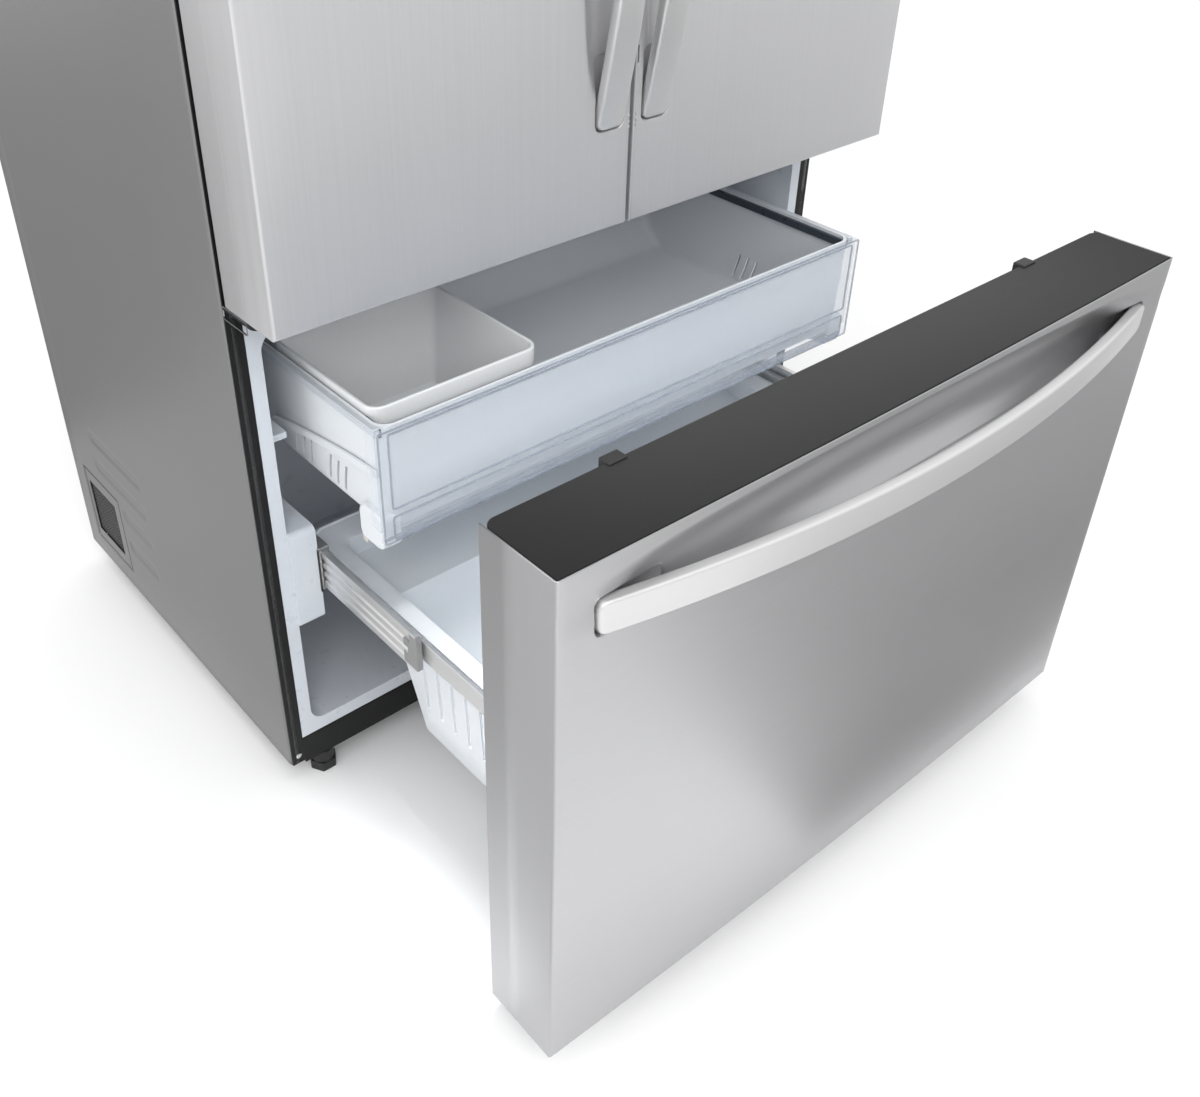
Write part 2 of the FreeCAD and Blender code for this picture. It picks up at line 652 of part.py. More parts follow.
def door_skin():
    """Steel skin folded round the front and the four edges, dished behind the handle."""
    outer = span("-width/2", "-door_gap/2", "0", "door_t", "door_bottom", "door_top")
    outer = rounded(outer, 3, lambda m, a: m.y < -135.9 and abs(a.z) > 0.99)
    inner = span("-width/2 + skin", "-door_gap/2 - skin", "skin", "door_t + 1", "door_bottom + skin",
                 "door_top - skin")
    solid_core = cut(inner, scoop_tool("skin"), *end_seats("skin"))
    pin_holes = [cylinder("-hinge_x", "hinge_depth", z, "+z", "6.5", "6")
                 for z in ("door_bottom - 2", "door_top - 4")]
    return cut(outer, scoop_tool("0"), *end_seats("0"), solid_core, *pin_holes)


def door_core():
    """Foamed core with the moulded inner liner and its raised dyke."""
    core = span("-width/2 + skin + 0.2", "-door_gap/2 - skin - 0.2", "skin + 0.2", "door_t",
                "door_bottom + skin + 0.2",
                "door_top - skin - 0.2")
    dyke_outer = rounded(span("-398", "-62", "door_t - 1", "door_t + dyke", "door_bottom + 58",
                              "door_top - 75"), 16,
                         lambda m, a: abs(a.y) > 0.99)
    dyke_inner = rounded(span("-380", "-80", "door_t", "door_t + dyke + 2", "door_bottom + 76",
                              "door_top - 93"), 10,
                         lambda m, a: abs(a.y) > 0.99)
    pins = [cylinder("-hinge_x", "hinge_depth", z, "+z", "6.5", "30")
            for z in ("door_bottom - 1", "door_top - 29")]
    return cut(fuse(core, cut(dyke_outer, dyke_inner)), scoop_tool("skin + 0.2"), *end_seats("skin + 0.2"),
               *pins)


def door_gasket():
    return ring("-gasket_edge", "-door_gap/2 - 12", "door_bottom + 14", "case_top - 12", "door_t + 0.1",
                "door_t + gasket_t", "gasket_w")


def door_handle():
    """Bowed flat bar whose ends sit in the door."""
    body = new_body("bar")
    sketch = sketch_on(body, "YZ_Plane")
    bow = ("-door_bar_bow - 2", "0")
    inner = ("bar_t - door_bar_bow - 2", "0")
    outline(sketch, [("9", "-door_bar_half"), ("-2", "-door_bar_half", bow), ("-2", "door_bar_half"),
                     ("9", "door_bar_half"), ("9", "door_bar_half - 24", inner), ("9", "24 - door_bar_half")])
    pad(body, sketch, "door_bar_w")
    place(body, "-door_bar_x - door_bar_w", "0", "door_bar_bottom + door_bar_half")
    middle = value("door_bar_bottom + door_bar_half")
    bar = rounded(body, 7, lambda m, a: abs(a.y) > 0.99 and abs(m.z - middle) > 360)
    return rounded(bar, 3, lambda m, a: abs(a.z) > 0.99 and m.y < -160)


def door_bins():
    """Three bins that hang between the dykes."""
    bins = []
    for z0, tall in (("door_bottom + 90", 110), ("door_bottom + 390", 115), ("door_bottom + 690", 115)):
        bins.append(tub("-379.5", "-80.5", "door_t + 0.5", "door_t + 0.5 + bin_deep", z0, f"{z0} + {tall}",
                        "bin_t"))
    return group(*bins)


def flip_mullion():
    """Hinged bar on the left door's free edge, folded back into the compartment."""
    bar = rounded(span("-35", "-25", "door_t + gasket_t + 3", "door_t + gasket_t + 61", "fridge_floor + 10",
                       "fridge_ceiling - 10"), 3, vertical)
    knuckles = [cylinder("-30", "door_t + gasket_t + 8", z, "+z", "5", "40")
                for z in ("fridge_floor + 10", "fridge_ceiling - 50")]
    node("flip_mullion", fuse(bar, *knuckles))


def doors():
    pieces = {"door_skin": door_skin(), "door_liner": door_core(), "door_gasket": door_gasket(),
              "door_handle": door_handle(), "door_bins": door_bins()}
    for name, piece in pieces.items():
        node(f"left_{name}", piece)
        node(f"right_{name}", mirrored_x(piece))
    flip_mullion()


# ---------------------------------------------------------------- freezer drawer

def bulged_plan(sketch, front, back, half, bulge):
    """Plan of the drawer front: straight sides, a slightly convex front."""
    outline(sketch, [(f"-({half})", front, ("0", f"{front} - {bulge}")), (half, front), (half, back),
                     (f"-({half})", back)])


def drawer_block(inset, back, bottom, top):
    """The drawer front's bulk, set in from its outer faces."""
    body = new_body("front")
    sketch = sketch_on(body, "XY_Plane")
    bulged_plan(sketch, f"{inset}", back, f"width/2 - ({inset})", "drawer_bulge")
    pad(body, sketch, f"({top}) - ({bottom})")
    return place(body, "0", "-drawer_open", bottom)


def drawer_scoop(grow):
    major = "(drawer_bar_half - 12) * (drawer_bar_half - 12) / (2 * scoop_deep)"
    return torus("0", f"scoop_deep - scoop_r - ({major}) - drawer_open", "drawer_bar_z + 30", TURNS["+z"],
                 major,
                 f"scoop_r + {grow}")


def drawer_seats(grow):
    seats = []
    for x in ("-drawer_bar_half", "drawer_bar_half - seat_long"):
        pocket_box = span(f"{x} - 1.5 - ({grow})", f"{x} + seat_long + 1.5 + {grow}", "-drawer_open - 8",
                          f"9.4 + {grow} - drawer_open", f"drawer_bar_z - 1.5 - ({grow})",
                          f"drawer_bar_z + bar_tall + 1.5 + {grow}")
        seats.append(rounded(pocket_box, 9, lambda m, a: abs(a.y) > 0.99))
    return seats


def drawer_front():
    """Steel skin, charcoal top cap, foamed liner and gasket of the freezer drawer."""
    outer = rounded(drawer_block("0", "door_t", "drawer_bottom", "drawer_top - 0.4"), 2.5,
                    lambda m, a: abs(a.z) > 0.99 and m.y < -500)
    inner = drawer_block("skin", "door_t + 1", "drawer_bottom + skin", "drawer_top + 5")
    hollow = cut(inner, drawer_scoop("skin"), *drawer_seats("skin"))
    node("drawer_skin", cut(outer, drawer_scoop("0"), *drawer_seats("0"), hollow))

    cap = rounded(drawer_block("skin + 0.3", "door_t", "drawer_top - cap_t", "drawer_top"), 12,
                  lambda m, a: abs(a.z) > 0.99 and m.y > -500)
    clips = [rounded(span(x, f"{x} + 22", "door_t - drawer_open - 8", "door_t - drawer_open + 7",
                          "drawer_top - 9",
                          "drawer_top + 2.5"), 2, lambda m, a: abs(a.x) > 0.99) for x in ("-320", "298")]
    node("drawer_top_cap", fuse(cap, *clips))

    core = drawer_block("skin + 0.2", "door_t - 0.2", "drawer_bottom + skin + 0.2",
                        "drawer_top - cap_t - 0.3")
    notches = [span(x, f"{x} + 26", "door_t - drawer_open - 9", "door_t - drawer_open + 9", "drawer_top - 11",
                    "drawer_top") for x in ("-322", "296")]
    dyke = rounded(span("-369", "369", "door_t - drawer_open - 1", "door_t - drawer_open + 22", "108",
                        "640"), 14,
                   lambda m, a: abs(a.y) > 0.99)
    node("drawer_liner", cut(fuse(core, dyke), drawer_scoop("skin + 0.2"), *drawer_seats("skin + 0.2"),
                             *notches))
    node("drawer_gasket", ring("-gasket_edge", "gasket_edge", "62", "drawer_top - 14",
                               "door_t - drawer_open + 0.1",
                               "door_t - drawer_open + gasket_t", "gasket_w"))


def drawer_handle():
    """Long bowed flat bar across the drawer."""
    body = new_body("bar")
    sketch = sketch_on(body, "XY_Plane")
    outline(sketch, [("-drawer_bar_half", "9"), ("-drawer_bar_half", "-3", ("0", "-bar_bow - 3")),
                     ("drawer_bar_half", "-3"), ("drawer_bar_half", "9"),
                     ("drawer_bar_half - 24", "9", ("0", "bar_t - bar_bow - 3")),
                     ("24 - drawer_bar_half", "9")])
    pad(body, sketch, "bar_tall")
    place(body, "0", "-drawer_open", "drawer_bar_z")
    bar = rounded(body, 7, lambda m, a: abs(a.y) > 0.99 and abs(m.x) > 400)
    node("drawer_handle", bar)


def drawer_basket():
    """Deep basket with a rim, a sloped back and slotted sides."""
    body = new_body("basket")
    profile = [("-292", "basket_floor"), ("-4", "basket_floor"), ("46", "268"), ("64", "302"),
               ("basket_back", "308"), ("basket_back", "basket_rim"), ("-292", "basket_rim")]
    sketch = sketch_on(body, "YZ_Plane")
    outline(sketch, profile)
    pad(body, sketch, "2 * basket_half", both=True)
    inside = [("-292 + plastic", "basket_floor + plastic"), ("-7", "basket_floor + plastic"),
              ("43", "270"), ("62", "305"), ("basket_back - plastic", "311"),
              ("basket_back - plastic", "basket_rim + 5"), ("-292 + plastic", "basket_rim + 5")]
    doc.recompute()
    hollow = sketch_on(body, "YZ_Plane")
    outline(hollow, inside)
    pocket(body, hollow, "2 * (basket_half - plastic)", both=True)
    place(body, "0", "0", "0")
    slots = []
    for i in range(9):
        for side in ("-basket_half - 5", "basket_half - 5"):
            slots.append(box(side, str(-262 + i * 26), "190", "10", "7", "88"))
    rim = ring_flat("-basket_half - 8", "basket_half + 8", "-293", "basket_back + 4", "basket_rim - 4",
                    "basket_rim", "11")
    node("drawer_basket", fuse(cut(body, *slots), rim))


def ring_flat(x0, x1, d0, d1, z0, z1, wide):
    """A flat rim that lies level."""
    outer = rounded(span(x0, x1, d0, d1, z0, z1), 14, vertical)
    inner = rounded(span(f"{x0} + {wide}", f"{x1} - {wide}", f"{d0} + {wide}", f"{d1} - {wide}", f"{z0} - 1",
                         f"{z1} + 1"), 8, vertical)
    return cut(outer, inner)


def rails():
    """Three-part telescopic runners, one pair."""
    outers, middles, inners = [], [], []
    for side in (-1, 1):
        def at(a, b):
            """Orders two offsets from the middle plane for this side."""
            return (f"-({b})", f"-({a})") if side < 0 else (a, b)
        web = at("rail_out - 2", "rail_out")
        leg = at("rail_out - 14", "rail_out")
        outers.append(fuse(
            span(*web, "rail_front", "rail_front + rail_length", "rail_z", "rail_z + rail_tall"),
            span(*leg, "rail_front", "rail_front + rail_length", "rail_z", "rail_z + 2"),
            span(*leg, "rail_front", "rail_front + rail_length", "rail_z + rail_tall - 2",
                 "rail_z + rail_tall")))
        bar = span(*at("rail_out - 11", "rail_out - 3"), "rail_front - 192", "rail_front + 288", "rail_z + 3",
                   "rail_z + rail_tall - 3")
        grooves = [span(*at("rail_out - 5", "rail_out"), "rail_front - 200", "rail_front + 300",
                        f"rail_z + {g}",
                        f"rail_z + {g} + 8") for g in (12, 25, 38)]
        middles.append(cut(bar, *grooves))
        inners.append(span(*at("rail_out - 18", "rail_out - 12"), "-drawer_open + door_t + 22", "164",
                           "rail_z + 16",
                           "rail_z + 44"))
    node("drawer_rails_outer", group(*outers))
    node("drawer_rails_middle", group(*middles))
    node("drawer_rails_inner", group(*inners))


# ---------------------------------------------------------------- upper tray

def upper_tray():
    """Shallow slide-out tray with slotted sides, its clear two-step front and the ice bin in it."""
    body = new_body("tray")
    sketch = sketch_on(body, "YZ_Plane")
    front, back = "tray_front + panel_t + 0.1", "tray_front + tray_depth"
    outline(sketch, [(front, "tray_floor"), (f"{back} - 90", "tray_floor"), (back, "500"), (back, "tray_rim"),
                     (front, "tray_rim")])
    pad(body, sketch, "2 * tray_half", both=True)
    doc.recompute()
    hollow = sketch_on(body, "YZ_Plane")
    outline(hollow, [(f"{front} + plastic", "tray_floor + plastic"), (f"{back} - 91", "tray_floor + plastic"),
                     (f"{back} - plastic", "503"), (f"{back} - plastic", "tray_rim + 5"),
                     (f"{front} + plastic", "tray_rim + 5")])
    pocket(body, hollow, "2 * (tray_half - plastic)", both=True)
    place(body, "0", "0", "0")
    slots = []
    for start in (40, 105):
        for i in range(3):
            for side in ("-tray_half - 5", "tray_half - 5"):
                slots.append(box(side, str(start + i * 14), "478", "10", "5", "30"))
    rims = [span("-tray_half - 7", "-tray_half + 1", front, back, "tray_rim - 7", "tray_rim"),
            span("tray_half - 1", "tray_half + 7", front, back, "tray_rim - 7", "tray_rim")]
    node("upper_tray", fuse(cut(body, *slots), *rims))

    panel = rounded(span("-panel_half", "panel_half", "tray_front", "tray_front + panel_t", "panel_bottom",
                         "tray_rim"),
                    1.5, lambda m, a: abs(a.z) > 0.99 and m.y < -181)
    step = span("-panel_half + 3", "panel_half - 3", "tray_front - 2", "tray_front + 1", "panel_bottom + 36",
                "panel_bottom + 40")
    node("tray_front", fuse(panel, step))
    node("ice_bin", ice_bin())


def ice_bin():
    """White bin with a rolled rim that stands in the left of the tray."""
    shell = tub("-358", "-145", "0", "190", "tray_floor + plastic + 0.2", "600", "2.5")
    rim = ring_flat("-362", "-141", "-4", "194", "600", "604", "7")
    return fuse(shell, rim)


# ---------------------------------------------------------------- build, check and write

def failed(thing):
    return any(flag in ("Invalid", "Error") for flag in thing.State)


def write():
    doc.recompute()
    bad = [o.Name for o in doc.Objects if failed(o)]
    for name, thing in NODES.items():
        if thing.Shape.isNull() or not thing.Shape.isValid():
            bad.append(name)
    if bad:
        raise RuntimeError("failed: " + ", ".join(bad))
    os.makedirs("parts", exist_ok=True)
    for name, thing in NODES.items():
        thing.Shape.exportStep(f"parts/{name}.step")


def main():
    cabinet_shell()
    side_vents()
    front_frame()
    mullion_beam()
    base_frame()
    liners()
    foam_insulation()
    back_covers()
    top_fittings()
    centre_hinges()
    feet_and_rollers()
    frame_screws()
    machine_parts()
    cold_circuit()
    fresh_food()
    doors()
    drawer_front()
    drawer_handle()
    drawer_basket()
    rails()
    upper_tray()
    write()


main()
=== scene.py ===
"""Looks for a french door refrigerator with its freezer drawer drawn out.

Frame: +X right, +Y back, +Z up, metres. A depth is measured back from the plane of the closed doors.
"""

import math

import bmesh
import bpy
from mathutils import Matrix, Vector


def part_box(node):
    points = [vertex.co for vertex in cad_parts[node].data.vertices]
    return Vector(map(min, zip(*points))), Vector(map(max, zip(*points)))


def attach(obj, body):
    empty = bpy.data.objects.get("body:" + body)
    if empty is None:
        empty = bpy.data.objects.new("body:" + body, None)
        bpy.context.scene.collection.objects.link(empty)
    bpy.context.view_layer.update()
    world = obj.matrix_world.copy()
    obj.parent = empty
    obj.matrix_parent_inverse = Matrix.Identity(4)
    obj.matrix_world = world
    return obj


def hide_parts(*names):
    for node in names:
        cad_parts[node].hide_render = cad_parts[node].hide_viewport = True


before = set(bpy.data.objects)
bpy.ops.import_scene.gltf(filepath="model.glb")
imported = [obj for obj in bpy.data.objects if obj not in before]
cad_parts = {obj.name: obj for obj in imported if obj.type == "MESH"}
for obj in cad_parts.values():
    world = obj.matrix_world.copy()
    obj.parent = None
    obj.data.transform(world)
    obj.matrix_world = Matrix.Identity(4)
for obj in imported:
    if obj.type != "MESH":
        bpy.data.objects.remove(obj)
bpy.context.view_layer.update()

MM = 0.001
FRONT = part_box("left_door_skin")[0].y
CASE_LOW, CASE_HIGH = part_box("cabinet_shell")
CASE_START = 0.108    # depth at which the side sheets begin
VENT_PANEL = (0.574, 0.700, 0.070, 0.204)    # depths, then heights, of the pressed panel and its window
VENT_WINDOW = (0.598, 0.690, 0.088, 0.180)


def depth_y(depth):
    """Y of a depth behind the front plane of the closed doors."""
    return FRONT + depth


# ---------------------------------------------------------------- materials

def grey(value, tint=(1, 1, 1)):
    """Linear colour of a display grey from 0 to 255."""
    v = value / 255
    linear = v / 12.92 if v <= 0.04045 else ((v + 0.055) / 1.055) ** 2.4
    return tuple(linear * t for t in tint)


def finish_of(name, color, rough, metal=0.0, grain=(40, 40, 40), vary=0.04, bump=0.02, spread=0.05, **sockets):
    """A procedural finish: colour, roughness and height all vary with noise stretched by grain."""
    material = bpy.data.materials.new(name)
    material.use_nodes = True
    tree = material.node_tree
    shader = tree.nodes["Principled BSDF"]
    shader.inputs["Metallic"].default_value = metal
    for socket, setting in sockets.items():
        shader.inputs[socket.replace("_", " ")].default_value = setting
    coordinates = tree.nodes.new("ShaderNodeTexCoord")
    stretch = tree.nodes.new("ShaderNodeMapping")
    stretch.inputs["Scale"].default_value = grain
    noise = tree.nodes.new("ShaderNodeTexNoise")
    noise.inputs["Scale"].default_value = 1.0
    noise.inputs["Detail"].default_value = 5.0
    tree.links.new(coordinates.outputs["Object"], stretch.inputs["Vector"])
    tree.links.new(stretch.outputs["Vector"], noise.inputs["Vector"])
    ramp = tree.nodes.new("ShaderNodeValToRGB")
    ramp.color_ramp.elements[0].position = 0.3
    ramp.color_ramp.elements[0].color = (*(c * (1 - vary) for c in color), 1)
    ramp.color_ramp.elements[1].position = 0.7
    ramp.color_ramp.elements[1].color = (*(min(1, c * (1 + vary)) for c in color), 1)
    tree.links.new(noise.outputs["Fac"], ramp.inputs["Fac"])
    tree.links.new(ramp.outputs["Color"], shader.inputs["Base Color"])
    levels = tree.nodes.new("ShaderNodeMapRange")
    levels.inputs["From Min"].default_value = 0.25
    levels.inputs["From Max"].default_value = 0.75
    levels.inputs["To Min"].default_value = max(0.0, rough - spread)
    levels.inputs["To Max"].default_value = min(1.0, rough + spread)
    tree.links.new(noise.outputs["Fac"], levels.inputs["Value"])
    tree.links.new(levels.outputs["Result"], shader.inputs["Roughness"])
    if bump:
        relief = tree.nodes.new("ShaderNodeBump")
        relief.inputs["Strength"].default_value = bump
        relief.inputs["Distance"].default_value = 0.0004
        tree.links.new(noise.outputs["Fac"], relief.inputs["Height"])
        tree.links.new(relief.outputs["Normal"], shader.inputs["Normal"])
    return material


STEEL = finish_of("brushed_steel", (0.5, 0.5, 0.51), 0.38, 1.0, (3, 900, 900), 0.03, 0.04, 0.05)
# Door stainless brushed upright: a lighter, less metallic copy of the drawer's steel. The difference is painted light
# for the brighter light on the doors.
STEEL_UPRIGHT_PAINTED_LIGHT = finish_of("brushed_steel_upright_painted_light", (0.58, 0.58, 0.59), 0.45, 0.7, (900, 900, 3), 0.03, 0.04, 0.05)
BAR = finish_of("bar_steel", (0.66, 0.66, 0.66), 0.38, 0.82, (5, 900, 900), 0.015, 0.008, 0.03)
BAR_UPRIGHT = finish_of("bar_steel_upright", (0.66, 0.66, 0.66), 0.38, 0.82, (900, 900, 5), 0.015, 0.008, 0.03)
CABINET = finish_of("cabinet_enamel", grey(122), 0.42, 0.35, (420, 420, 420), 0.05, 0.06, 0.05)
BLACK = finish_of("black_enamel", grey(14), 0.5, 0.0, (700, 700, 700), 0.05, 0.006, Specular_IOR_Level=0.3)
BLACK_PLASTIC = finish_of("black_plastic", grey(24), 0.5, 0.0, (900, 900, 900), 0.12, 0.12)
CHARCOAL = finish_of("charcoal_cap", grey(30), 0.5, 0.0, (1400, 1400, 1400), 0.10, 0.10, 0.06, Specular_IOR_Level=0.2)
# The liner's white is its own colour. Its blue tint is painted shade for the bluish shadow inside the cabinet.
LINER_WHITE_AND_BLUE_SHADE = finish_of("white_liner_and_blue_shade", grey(210, (0.93, 0.98, 1.05)), 0.3, 0.0, (60, 60, 60), 0.008, 0.01, 0.04)
TRAY = finish_of("tray_white", grey(220, (0.94, 0.98, 1.02)), 0.35, 0.0, (160, 160, 160), 0.006, 0.008, 0.03)
BIN = finish_of("bin_white", grey(226, (0.97, 0.985, 1.0)), 0.35, 0.0, (120, 120, 120), 0.006, 0.008, 0.03)
CLEAR = finish_of("clear_plastic", (0.7, 0.74, 0.8), 0.05, 0.0, (14, 14, 14), 0.01, 0.0, 0.02, Alpha=0.2)
# Ridges and ledge of the clear panel drawn darker grey-blue than the panel: painted shade for the grey lines seen
# along clear plastic edges.
CLEAR_EDGE_PAINTED_SHADE = finish_of("clear_plastic_edge_painted_shade", (0.3, 0.34, 0.4), 0.08, 0.0, (60, 60, 60), 0.04, 0.0, 0.03,
                       Alpha=0.5)
GLASS = finish_of("shelf_glass", (0.82, 0.93, 0.9), 0.03, 0.0, (10, 10, 10), 0.01, 0.0, 0.015, Alpha=0.28)
RUBBER = finish_of("gasket_rubber", grey(96), 0.62, 0.0, (300, 300, 300), 0.08, 0.08)
ZINC = finish_of("rail_zinc", grey(222), 0.3, 0.9, (500, 6, 500), 0.02, 0.02, 0.05)
DARK_ZINC = finish_of("rail_end_steel", grey(170), 0.3, 0.9, (400, 8, 400), 0.04, 0.03, 0.06)
GALVANISED = finish_of("galvanised_sheet", grey(168), 0.45, 0.85, (85, 85, 85), 0.06, 0.04, 0.10)
HINGE_COVER = finish_of("hinge_cover_plastic", grey(104), 0.5, 0.0, (900, 900, 900), 0.08, 0.12)
ALUMINIUM = finish_of("fin_aluminium", grey(200), 0.34, 1.0, (400, 30, 400), 0.06, 0.05)
FOAM = finish_of("foam", grey(205, (1, 0.93, 0.66)), 0.8, 0.0, (260, 260, 260), 0.10, 0.4)
CHROME = finish_of("screw_chrome", grey(205), 0.18, 1.0, (300, 300, 300), 0.04, 0.02)
MESH_GREY = finish_of("vent_mesh_grey", grey(78), 0.5, 0.0, (600, 600, 600), 0.08, 0.05)
TRIM = finish_of("trim_white", grey(226), 0.4, 0.0, (200, 200, 200), 0.02, 0.05)
BLUE_TRIM = finish_of("tray_trim_steel", grey(214, (0.92, 0.98, 1.04)), 0.3, 0.3, (500, 5, 500), 0.06, 0.05)
# Dark blue for a strip inside the tray wall: painted shade, not a colour of the tray.
SHADOW_BLUE = finish_of("tray_channel_blue", grey(58, (0.7, 0.95, 1.3)), 0.3, 0.0, (80, 80, 80), 0.05, 0.03)
BEIGE = finish_of("beige_stop", grey(190, (1.0, 0.98, 0.84)), 0.5, 0.0, (200, 200, 200), 0.04, 0.08)

NODE_FINISHES = (
    (BLACK, "base_frame centre_hinges compressor condenser_coil fan_motors front_frame mullion_beam"),
    (BLACK_PLASTIC, "condenser_fan drain_pan evaporator_fan fan_shroud left_roller right_roller power_inlet"),
    (CHARCOAL, "flip_mullion"),
    (HINGE_COVER, "hinge_covers"),
    (GALVANISED, "back_panel machine_cover roller_brackets upper_hinges"),
    (ALUMINIUM, "evaporator"),
    (CHROME, "frame_screws"),
    (FOAM, "foam_insulation"),
    (LINER_WHITE_AND_BLUE_SHADE, "freezer_liner fridge_liner"),
    (TRIM, "air_duct control_panel evaporator_cover ice_maker shelf_frames water_valve"),
    (GLASS, "shelf_glass"),
    (CLEAR, "crisper_left crisper_right pantry_drawer left_door_bins right_door_bins"),
)


def finish_nodes():
    """Gives each carried-over CAD node its material."""
    for material, names in NODE_FINISHES:
        for name in names.split():
            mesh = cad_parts[name].data
            mesh.materials.clear()
            mesh.materials.append(material)


# ---------------------------------------------------------------- mesh helpers

def piece(name, vertices, faces, material, body, replaces=(), slot=None, sharp=35):
    """One closed mesh that rides on a body and may stand for CAD nodes."""
    mesh = bpy.data.meshes.new(name)
    mesh.from_pydata([tuple(v) for v in vertices], [], [tuple(f) for f in faces])
    work = bmesh.new()
    work.from_mesh(mesh)
    bmesh.ops.remove_doubles(work, verts=work.verts, dist=1e-6)
    bmesh.ops.recalc_face_normals(work, faces=work.faces)
    work.to_mesh(mesh)
    work.free()
    for polygon in mesh.polygons:
        polygon.use_smooth = True
    mesh.set_sharp_from_angle(angle=math.radians(sharp))
    mesh.materials.append(material)
    thing = bpy.data.objects.new(name, mesh)
    bpy.context.scene.collection.objects.link(thing)
    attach(thing, body)
    if replaces:
        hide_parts(*replaces)
    return thing


def soften(thing, width, segments=3, angle=30):
    """Rounds the edges of a piece."""
    bevel = thing.modifiers.new("bevel", "BEVEL")
    bevel.width = width
    bevel.segments = segments
    bevel.limit_method = "ANGLE"
    bevel.angle_limit = math.radians(angle)
    bevel.harden_normals = True
    return thing


def rounded_rectangle(u0, u1, v0, v1, radius, steps=6):
    """Outline points, anticlockwise, starting at the lower right corner."""
    points = []
    corners = ((u1 - radius, v0 + radius, -90), (u1 - radius, v1 - radius, 0), (u0 + radius, v1 - radius, 90),
               (u0 + radius, v0 + radius, 180))
    for cu, cv, start in corners:
        for i in range(steps + 1):
            angle = math.radians(start + 90 * i / steps)
            points.append((cu + radius * math.cos(angle), cv + radius * math.sin(angle)))
    return points


def on_axis(axis, u, v, w):
    """A point from two outline coordinates and one along the axis."""
    return {"x": (w, u, v), "y": (u, w, v), "z": (u, v, w)}[axis]


def lofted(rings, axis="z"):
    """Vertices and faces of closed rings joined in order, with both ends filled.

    Each ring is (outline points, place along the axis).
    """
    vertices = [on_axis(axis, u, v, w) for outline, w in rings for u, v in outline]
    count = len(rings[0][0])
    faces = []
    for r in range(len(rings) - 1):
        for i in range(count):
            j = (i + 1) % count
            faces.append((r * count + i, r * count + j, (r + 1) * count + j, (r + 1) * count + i))
    faces.append(tuple(range(count)))
    faces.append(tuple(range((len(rings) - 1) * count, len(rings) * count)))
    return vertices, faces


def looped(rings, axis):
    """Vertices and faces of a closed band: rings joined in order, and the last one back to the first."""
    vertices, faces = lofted(rings, axis)
    count = len(rings[0][0])
    last = (len(rings) - 1) * count
    faces = faces[:-2] + [(i, (i + 1) % count, last + (i + 1) % count, last + i) for i in range(count)]
    return vertices, faces


def prism(name, outline, axis, low, high, material, body, bevel=0.0, **links):
    """An outline drawn out along an axis, with softened edges."""
    vertices, faces = lofted([(outline, low), (outline, high)], axis)
    thing = piece(name, vertices, faces, material, body, **links)
    return soften(thing, bevel) if bevel else thing


def block(name, x0, x1, y0, y1, z0, z1, material, body, corner=0.0, bevel=0.0, axis="z", **links):
    """A box whose edges along one axis are rounded."""
    spans = {"z": ((x0, x1, y0, y1), z0, z1), "y": ((x0, x1, z0, z1), y0, y1), "x": ((y0, y1, z0, z1), x0, x1)}
    (u0, u1, v0, v1), low, high = spans[axis]
    if corner:
        outline = rounded_rectangle(u0, u1, v0, v1, corner)
    else:
        outline = [(u1, v0), (u1, v1), (u0, v1), (u0, v0)]
    return prism(name, outline, axis, low, high, material, body, bevel, **links)


def bin_rings(x0, x1, y0, y1, profile, corner):
    """Rings of an open bin: each profile entry is how far the outline is grown, and its height."""
    rings = []
    for grow, z in profile:
        radius = max(0.001, corner + grow)
        rings.append((rounded_rectangle(x0 - grow, x1 + grow, y0 - grow, y1 + grow, radius, 8), z))
    return rings


def evaluated(thing):
    """Replaces a piece's mesh by what its modifiers make of it."""
    bpy.context.view_layer.update()
    graph = bpy.context.evaluated_depsgraph_get()
    mesh = bpy.data.meshes.new_from_object(thing.evaluated_get(graph))
    thing.modifiers.clear()
    old = thing.data
    thing.data = mesh
    bpy.data.meshes.remove(old)
    return thing


def carve(thing, cutters):
    """Cuts (vertices, faces) solids out of a piece."""
    vertices, faces = [], []
    for more_vertices, more_faces in cutters:
        start = len(vertices)
        vertices += [tuple(v) for v in more_vertices]
        faces += [tuple(start + i for i in f) for f in more_faces]
    mesh = bpy.data.meshes.new("cutters")
    mesh.from_pydata(vertices, [], faces)
    work = bmesh.new()
    work.from_mesh(mesh)
    bmesh.ops.recalc_face_normals(work, faces=work.faces)
    work.to_mesh(mesh)
    work.free()
    tool = bpy.data.objects.new("cutters", mesh)
    bpy.context.scene.collection.objects.link(tool)
    cut = thing.modifiers.new("cut", "BOOLEAN")
    cut.operation = "DIFFERENCE"
    cut.solver = "EXACT"
    cut.object = tool
    evaluated(thing)
    bpy.data.objects.remove(tool)
    for polygon in thing.data.polygons:
        polygon.use_smooth = True
    thing.data.set_sharp_from_angle(angle=math.radians(35))
    return thing


def steps_between(low, high, pitch):
    """Evenly spaced values from low to high, no further apart than pitch."""
    count = max(1, math.ceil((high - low) / pitch))
    return [low + (high - low) * i / count for i in range(count + 1)]


def merged_lines(*runs):
    """Sorted grid lines, with near copies dropped."""
    lines = []
    for value in sorted(v for run in runs for v in run):
        if not lines or value - lines[-1] > 0.0002:
            lines.append(value)
    return lines


def smooth_max(a, b, blend):
    """The larger of two values, rounded where they cross."""
    overlap = max(blend - abs(a - b), 0.0) / blend
    return max(a, b) + overlap * overlap * blend / 4


